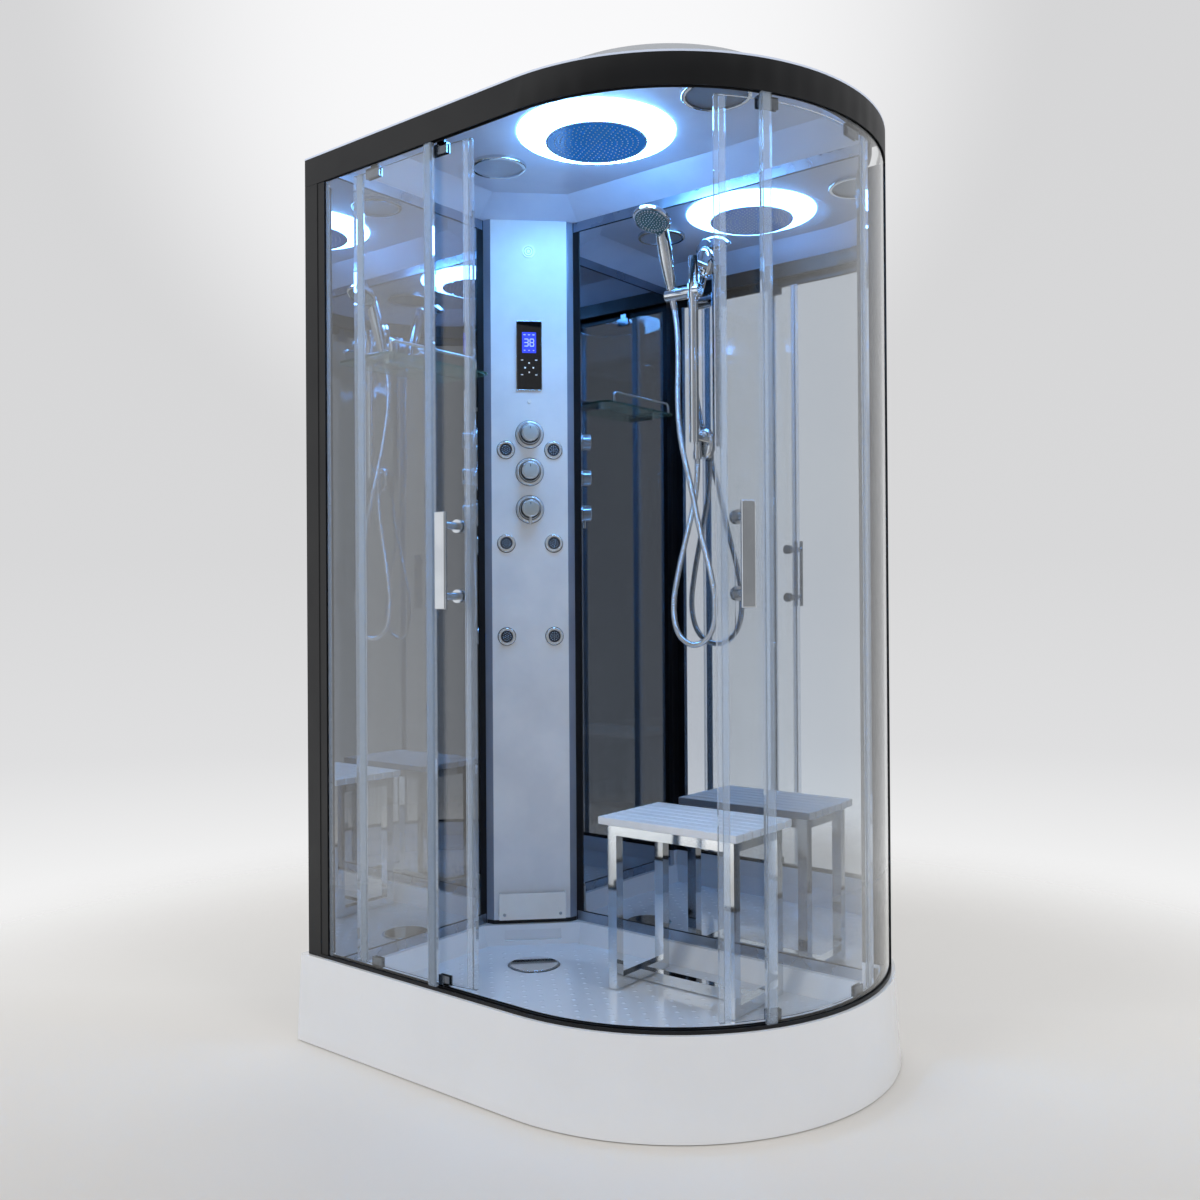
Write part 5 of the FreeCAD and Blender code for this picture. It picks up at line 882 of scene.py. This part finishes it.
@dataclass
class Column(SubAssembly):
    """Fittings column: casing, control panel, valves, knobs and body jets.

    Fronts are measured out of the corner, heights from the floor, and the rest across the face.
    """

    face_mm: float = 178.0
    # The panel's width, height and middle, and the display's middle.
    panel_mm: tuple[float, float, float] = (69.0, 187.0, 1676.0)
    panel_front_mm: float = 183.0
    display_mm: float = 1711.0
    # The keys' plain marks: the places of the bars and of the dots.
    key_bars_mm: tuple[Pair, ...] = ((-19.0, 1664.0), (19.0, 1664.0), (-19.0, 1624.0), (19.0, 1624.0))
    key_dots_mm: tuple[Pair, ...] = ((0.0, 1656.0), (0.0, 1631.0), (-11.0, 1643.0), (11.0, 1643.0))
    ink_mm: float = 0.3
    lit_mm: float = 0.2
    # The round disc's middle and front, and the radii of its rings.
    badge_mm: Pair = (1958.0, 181.0)
    badge_rings_mm: Pair = (12.0, 6.0)
    plate_front_mm: float = 186.0
    skirt_front_mm: float = 198.3
    knob_front_mm: float = 222.3
    # Each knob's name and height.
    knobs_mm: tuple[tuple[str, float], ...] = (
        ("flow_knob", 1464.0), ("temperature_knob", 1363.0), ("diverter_knob", 1262.0))
    # Each jet's place across the face and height.
    jets_mm: tuple[Pair, ...] = tuple(
        (side * 64.0, z) for side in (-1, 1) for z in (1422.0, 1170.0, 920.0))
    jet_front_mm: float = 183.0
    jet_pitch_mm: float = 5.2
    # The radii of the knobs' plates and the jets' rings, and the cover's screws: across, front, height.
    plate_reach_mm: float = 37.0
    jet_reach_mm: float = 23.5
    cover_screw_mm: Point = (75.0, 193.5, 176.0)

    def at(self, u: float, out: float, z: float) -> Matrix:
        """A local frame on the column: X across its face, Y up, Z out of the face."""
        half = math.sqrt(0.5)
        corner_x, corner_y = COLUMN_CORNER_MM
        origin = metres(corner_x + (u + out) * half, corner_y + (u - out) * half, z)
        return facing(origin, Vector((half, half, 0.0)), Vector((half, -half, 0.0)))

    def build(self) -> None:
        """Dresses the column and adds its small parts."""
        self.cabin.dress(
            tower_column=CASING_PARTS, tower_rear_cover=ZINC_SHEET, tower_base_trim=BLACK_RUBBER_AND_PAINTED_SHADE,
            steam_outlet_cover=STEAM_ABS, steam_generator=STAINLESS, control_panel=BLACK_ACRYLIC,
            control_screen=LIT_DISPLAY, tower_badge=STEAM_ABS, valve_escutcheons=CHROMED_ABS,
            flow_knob=CHROMED_ABS, temperature_knob=CHROMED_ABS, diverter_knob=CHROMED_ABS,
            jet_rings=CHROMED_ABS, valve_manifold=BRASS, supply_pipes=COPPER, jet_spray_plates=JET_ABS)
        self.build_panel()
        self.build_display()
        self.build_knob_faces()
        self.build_jet_nozzles()
        self.build_badge_rings()
        self.build_gap_shadows()
        self.build_cover_screws()

    def build_panel(self) -> None:
        """Adds the panel's bright border and the plain marks of its keys."""
        width, height, middle = self.panel_mm
        border = frame_ring(rounded_rectangle(width, height, 4.0), 1.8, 1.0,
                            self.at(0.0, self.panel_front_mm, middle))
        self.cabin.add("panel_border", border, CHROME, "chrome")
        marks = []
        for outline, places in ((rounded_rectangle(6.4, 2.0, 0.9, 4), self.key_bars_mm),
                                (rounded_rectangle(4.4, 4.4, 2.1, 5), self.key_dots_mm)):
            marks += [prism(outline, self.ink_mm, self.at(u, self.panel_front_mm, z)) for u, z in places]
        self.cabin.add("panel_key_marks", gather(marks), PRINT_INK, "spray_grey", smooth=False)

    def build_display(self) -> None:
        """Adds a plain number to the display, with three short bars above it and three below."""
        tall, wide, bar = 19.0, 10.0, 2.0
        # Segments of a digit as centre, width and height, and the segments that each digit lights.
        rows = (("top", tall / 2), ("mid", 0.0), ("low", -tall / 2))
        segments = {name: (0.0, z, wide, bar) for name, z in rows}
        for level, z in (("up", tall / 4), ("low", -tall / 4)):
            for side, u in (("left", -wide / 2), ("right", wide / 2)):
                segments[f"{side}_{level}"] = (u, z, bar, tall / 2 - bar)
        digits = {"3": ("top", "mid", "low", "right_up", "right_low"), "8": tuple(segments)}
        marks = [(shift + segments[name][0], *segments[name][1:], bar * 0.4)
                 for digit, shift in (("3", -7.5), ("8", 7.5)) for name in digits[digit]]
        for u in (-12.0, 0.0, 12.0):
            marks += [(u, 21.0, 6.0, bar, 0.8), (u, -21.0, 4.0, bar, 0.8)]
        lit = [prism(rounded_rectangle(width, height, corner, 3), self.lit_mm,
                     self.at(u, self.panel_front_mm, self.display_mm + z))
               for u, z, width, height, corner in marks]
        self.cabin.add("display_marks", gather(lit), PRINT_INK, "spray_grey", smooth=False)

    def build_knob_faces(self) -> None:
        """Adds each knob's satin disc and index mark, and dark rings of painted shade in the gap round its
        drum and skirt and on its plate.
        """
        for name, z in self.knobs_mm:
            skirt, plate, front = (self.at(0.0, out, z) for out in (
                self.skirt_front_mm, self.plate_front_mm, self.knob_front_mm))
            # A dark ring of painted shade, for the gap between the drum and the skirt.
            skirt_gap_shade = lathe([(22.9, 0.7), (24.3, 0.6), (25.3, 0.1), (26.0, -0.5)], skirt)
            self.cabin.add(f"{name}_joint", skirt_gap_shade, BLACK_RUBBER_AND_PAINTED_SHADE, "black_seal", name)
            # A dark ring of painted shadow on the plate, round the skirt.
            shadow = lathe([(27.4, 0.3), (29.2, 0.3), (29.6, 0.0)], plate)
            self.cabin.add(f"{name}_plate_shadow_ring", shadow, BLACK_RUBBER_AND_PAINTED_SHADE, "black_seal")
            disc = lathe([(0.0, 0.5), (18.6, 0.5), (19.2, 0.3), (19.4, 0.0), (0.0, 0.0)], front)
            self.cabin.add(f"{name}_face", disc, TURNED_SATIN, "chrome", name)
            mark = front @ Matrix.Translation(metres(0.0, 13.0, 0.5))
            index = prism(rounded_rectangle(2.0, 7.0, 0.9, 4), self.ink_mm, mark)
            self.cabin.add(f"{name}_index", index, BLACK_RUBBER_AND_PAINTED_SHADE, "black_seal", name, smooth=False)

    def build_jet_nozzles(self) -> None:
        """Adds the small nozzles on the spray plates of the jets."""
        spots = [(u + x, z + y) for u, z in self.jets_mm
                 for x, y in rings_of_points(self.jet_pitch_mm, (1, 6, 12))]
        nozzles = spread([(0.0, 1.2), (1.3, 1.0), (1.8, 0.0)], self.at(0.0, self.jet_front_mm, 0.0), spots)
        self.cabin.add("jet_nozzles", nozzles, JET_SILICONE, "spray_grey")

    def build_badge_rings(self) -> None:
        """Adds two raised rings to the plain round disc."""
        z, front = self.badge_mm
        rings = [lathe([(r - 0.9, 0.0), (r - 0.5, 0.7), (r + 0.5, 0.7), (r + 0.9, 0.0)],
                       self.at(0.0, front, z), 48) for r in self.badge_rings_mm]
        self.cabin.add("badge_rings", gather(rings), JET_SILICONE, "spray_grey")

    def build_gap_shadows(self) -> None:
        """Adds a dark ring round each knob plate and each jet ring: painted shadow in the gap at its edge.
        """
        rims = [(0.0, z, self.plate_reach_mm) for _, z in self.knobs_mm]
        rims += [(u, z, self.jet_reach_mm) for u, z in self.jets_mm]
        # Each dark ring is painted shadow, standing in for the shade in the gap.
        dark_rings = [lathe([(reach - 0.4, 0.1), (reach - 0.3, 0.6), (reach + 1.1, 0.5), (reach + 1.4, 0.1)],
                         self.at(u, self.face_mm, z), 48) for u, z, reach in rims]
        self.cabin.add("column_gap_shadow_rings", gather(dark_rings), BLACK_RUBBER_AND_PAINTED_SHADE, "black_seal")

    def build_cover_screws(self) -> None:
        """Adds the dished heads of the two screws of the steam outlet's cover."""
        u, out, z = self.cover_screw_mm
        heads = spread([(0.0, 0.1), (1.5, 0.1), (2.4, 0.5), (3.6, 0.5), (4.3, 0.0)],
                       self.at(0.0, out, z), ((-u, 0.0), (u, 0.0)), 32)
        self.cabin.add("steam_cover_screw_heads", heads, SATIN_CHROME, "chrome")


@dataclass
class RiserRail(SubAssembly):
    """Riser bar with its slider, holder and hand shower."""

    spray_front_mm: Point = (-17.0, 213.1, 1934.0)
    spray_direction: Point = (0.0, -0.42262, -0.90631)
    spray_rings: tuple[int, ...] = (1, 6, 12, 18, 24, 28)
    spray_pitch_mm: float = 7.2
    spray_reach_mm: float = 37.5

    def build(self) -> None:
        """Dresses the rail and the hand shower, and adds its nozzles and the ring of its face."""
        self.cabin.dress(riser_bar=CHROME, riser_brackets=CHROME, slider=CHROME, shower_holder=CHROME,
                         hand_shower=CHROME, spray_face=SPRAY_ABS)
        place = facing(metres(*self.spray_front_mm), Vector((1.0, 0.0, 0.0)), Vector(self.spray_direction))
        spots = [spot for spot in rings_of_points(self.spray_pitch_mm, self.spray_rings)
                 if math.hypot(*spot) < self.spray_reach_mm]
        nozzles = spread([(0.0, 1.6), (1.0, 1.3), (1.5, 0.0)], place, spots)
        self.cabin.add("hand_shower_nozzles", nozzles, NOZZLE_SILICONE, "spray_grey", "hand_shower")
        ring = lathe([(31.8, 0.0), (32.2, 0.5), (33.0, 0.5), (33.4, 0.0)], place)
        self.cabin.add("hand_shower_face_ring", ring, SATIN_CHROME, "chrome", "hand_shower")


@dataclass
class Ceiling(SubAssembly):
    """Ceiling with the lit ring, the rain shower, the downlight and the loudspeaker."""

    rain_mm: Point = (-22.0, 7.0, 2061.0)
    rain_rings: tuple[int, ...] = (1, 6, 12, 18, 24, 30, 36, 42, 48)
    rain_pitch_mm: float = 12.0

    def build(self) -> None:
        """Dresses the ceiling and adds the rain shower's nozzles and rim."""
        self.cabin.dress(ceiling_shell=CEILING_ABS, roof_dome=ROOF_ABS, light_diffuser=OPAL_ACRYLIC,
                         led_ring=LAMP_STRIP, rain_shower=RAIN_ACRYLIC, downlight=LAMP_PARTS,
                         speaker=SPEAKER_PARTS)
        under = facing(metres(*self.rain_mm), Vector((1.0, 0.0, 0.0)), Vector((0.0, 0.0, -1.0)))
        nozzles = spread([(0.0, 1.5), (1.1, 1.2), (1.7, 0.0)], under,
                         rings_of_points(self.rain_pitch_mm, self.rain_rings))
        self.cabin.add("rain_nozzles", nozzles, NOZZLE_SILICONE, "spray_blue")
        rim = lathe([(112.5, 0.0), (113.2, 1.2), (115.6, 1.2), (116.4, 0.0)], under, 96)
        self.cabin.add("rain_rim", rim, CHROME, "chrome")


@dataclass
class Stool(SubAssembly):
    """Slatted stool on a chrome frame."""

    frame_edge_mm: float = 1.0
    seat_edge_mm: float = 3.0

    def build(self) -> None:
        """Dresses the stool and breaks its edges, so that the gaps between its slats show."""
        self.cabin.dress(stool_frame=CHROME, stool_seat=SEAT_POLYPROPYLENE)
        self.cabin.soften(self.frame_edge_mm, "stool_frame")
        self.cabin.soften(self.seat_edge_mm, "stool_seat")


# ---- Camera and studio -----------------------------------------------------------------

@dataclass
class PhotoCamera:
    """The camera at the photograph's place and angle."""

    place: Point = (1.5999, -2.0385, 1.0024)
    yaw: float = 38.380
    pitch: float = 0.264
    roll: float = -0.365
    lens_mm: float = 34.255
    sensor_mm: float = 36.0
    nearest_m: float = 0.05

    def build(self) -> None:
        """Makes the camera and gives it to the scene."""
        yaw, pitch, roll = (math.radians(angle) for angle in (self.yaw, self.pitch, self.roll))
        ahead = Vector((-math.sin(yaw) * math.cos(pitch), math.cos(yaw) * math.cos(pitch), math.sin(pitch)))
        level = Vector((math.cos(yaw), math.sin(yaw), 0.0))
        upright = level.cross(ahead)
        right = level * math.cos(roll) + upright * math.sin(roll)
        up = upright * math.cos(roll) - level * math.sin(roll)
        data = bpy.data.cameras.new("photo_camera")
        data.sensor_width = self.sensor_mm
        data.lens = self.lens_mm
        data.clip_start = self.nearest_m
        camera = bpy.data.objects.new("photo_camera", data)
        turn = Matrix((right, up, -ahead)).transposed().to_4x4()
        camera.matrix_world = Matrix.Translation(Vector(self.place)) @ turn
        bpy.context.scene.collection.objects.link(camera)
        bpy.context.scene.camera = camera


@dataclass(frozen=True)
class FloorFinish(Finish):
    """Pale studio floor with painted shade, darker towards the front, that fades into the backdrop."""

    # The near tone is painted shade: the floor darkens towards the front and the right as the studio's
    # light falls off.
    near: str = "#B2A89B"
    far: str = "#F3F1EE"
    towards: Point = (0.54, -0.84, 0.0)
    near_m: float = 1.95
    far_m: float = -0.3
    solid_m: float = 1.3
    gone_m: float = 2.65
    roughness: float = 0.55

    def wire(self, tree: Tree) -> Socket:
        """Adds the finish's nodes and returns the socket of its shader."""
        place = add_node(tree, "TexCoord", out="Object")
        along = add_node(tree, "VectorMath", {0: place, 1: self.towards}, "Value", operation="DOT_PRODUCT")
        share = add_node(tree, "MapRange", {
            "Value": along, "From Min": self.far_m, "From Max": self.near_m})
        colour = two_tone(tree, share, self.far, self.near, (0.0, 1.0))
        paint = add_node(tree, "BsdfPrincipled", {"Roughness": self.roughness, "Base Color": colour})
        reach = add_node(tree, "VectorMath", {0: place}, "Value", operation="LENGTH")
        fade = add_node(tree, "MapRange", {
            "Value": reach, "From Min": self.solid_m, "From Max": self.gone_m},
            interpolation_type="SMOOTHSTEP")
        return mix(tree, fade, paint, add_node(tree, "BsdfTransparent"))


@dataclass
class Studio:
    """Pale floor, backdrop and soft lamps."""

    fill: float = 0.64
    backdrop: tuple[tuple[float, str], ...] = (
        (0.0, "#BDBDBE"), (0.28, "#D6D6D7"), (0.345, "#E2E2E3"), (0.385, "#F5F5F5"), (0.44, "#DFDFE0"),
        (0.52, "#D8D8D9"), (0.7, "#D6D6D7"), (1.0, "#CFCFD0"))
    # Brighter or darker parts of the studio: direction, cosines where it starts and is full, factor.
    parts: tuple[tuple[Point, float, float, float], ...] = (
        ((-0.585, 0.672, 0.455), 0.925, 1.0, 1.42),
        ((0.62, -0.78, 0.0), 0.3, 0.92, 0.38),
        ((-0.62, -0.78, 0.0), 0.45, 0.95, 1.45))
    # The lamps' names, places, sizes in metres and powers in watts.
    lamps: tuple[tuple[str, Point, float, float], ...] = (
        ("key", (-1.6, -3.4, 3.4), 2.6, 45.0), ("side", (3.6, -0.6, 2.4), 2.2, 22.0),
        ("top", (0.2, 0.4, 4.2), 3.0, 20.0))
    lamps_aim: Point = (0.0, 0.0, 1.0)
    floor_rings_mm: tuple[float, ...] = (0.0, 900.0, 1800.0, 2700.0)

    def build(self) -> None:
        """Makes the floor, the world and the lamps."""
        scene = bpy.context.scene
        scene.view_settings.view_transform = "Standard"
        disc = lathe([(radius, 0.0) for radius in self.floor_rings_mm], Matrix.Identity(4), 96)
        mesh_object("studio_floor", disc, FloorFinish("painted_studio_floor"))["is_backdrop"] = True
        self.build_world()
        for name, place, size, power in self.lamps:
            data = bpy.data.lights.new(f"lamp_{name}", "AREA")
            data.shape = "DISK"
            data.size = size
            data.energy = power
            lamp = bpy.data.objects.new(f"lamp_{name}", data)
            lamp.location = place
            lamp.visible_glossy = False
            lamp.visible_transmission = False
            lamp.rotation_mode = "QUATERNION"
            lamp.rotation_quaternion = (Vector(self.lamps_aim) - Vector(place)).to_track_quat("-Z", "Y")
            scene.collection.objects.link(lamp)

    def build_world(self) -> None:
        """Makes the world: a plain fill for the light, and the backdrop for what sees it."""
        world = bpy.data.worlds.new("studio")
        world.use_nodes = True
        bpy.context.scene.world = world
        tree = world.node_tree
        tree.nodes.clear()
        direction = add_node(tree, "TexCoord", out="Generated")
        height = add_node(tree, "SeparateXYZ", {"Vector": direction}, "Z")
        level = add_node(tree, "MapRange", {"Value": height, "From Min": -1.0, "From Max": 1.0})
        tones = add_node(tree, "ValToRGB", {"Fac": level})
        stops = tones.node.color_ramp.elements
        for _ in self.backdrop[2:]:
            stops.new(0.5)
        for stop, (position, code) in zip(stops, self.backdrop):
            stop.position = position
            stop.color = linear(code)
        strength = None
        for towards, start, full, factor in self.parts:
            cosine = add_node(tree, "VectorMath", {0: direction, 1: towards}, "Value",
                              operation="DOT_PRODUCT")
            lobe = add_node(tree, "MapRange", {"Value": cosine, "From Min": start, "From Max": full,
                                               "To Min": 1.0, "To Max": factor},
                            interpolation_type="SMOOTHSTEP")
            strength = lobe if strength is None else add_node(
                tree, "Math", {0: strength, 1: lobe}, operation="MULTIPLY")
        backdrop = add_node(tree, "Background", {"Color": tones, "Strength": strength})
        fill = add_node(tree, "Background", {"Color": linear("#FFFFFF"), "Strength": self.fill})
        rays = add_node(tree, "LightPath").node.outputs
        seen = rays["Is Camera Ray"]
        for other in ("Is Glossy Ray", "Is Transmission Ray"):
            seen = add_node(tree, "Math", {0: seen, 1: rays[other]}, operation="MAXIMUM")
        add_node(tree, "OutputWorld", {"Surface": mix(tree, seen, fill, backdrop)})


def main() -> None:
    """Builds the whole scene in order."""
    logging.basicConfig(level=logging.INFO, format="%(message)s")
    cabin = Cabin.load()
    PhotoCamera().build()
    ShowerHose(cabin).build()
    Studio().build()
    for assembly in (Tray, Frame, Walls, Column, RiserRail, Ceiling, Stool):
        assembly(cabin).build()
        LOG.info("built %s", assembly.__name__)
    missed = sorted(set(cabin.nodes) - cabin.dressed - {"shower_hose"})
    LOG.info("nodes without a finish: %s", missed or "none")
    cabin.write_sizes()


if __name__ == "__main__":
    main()
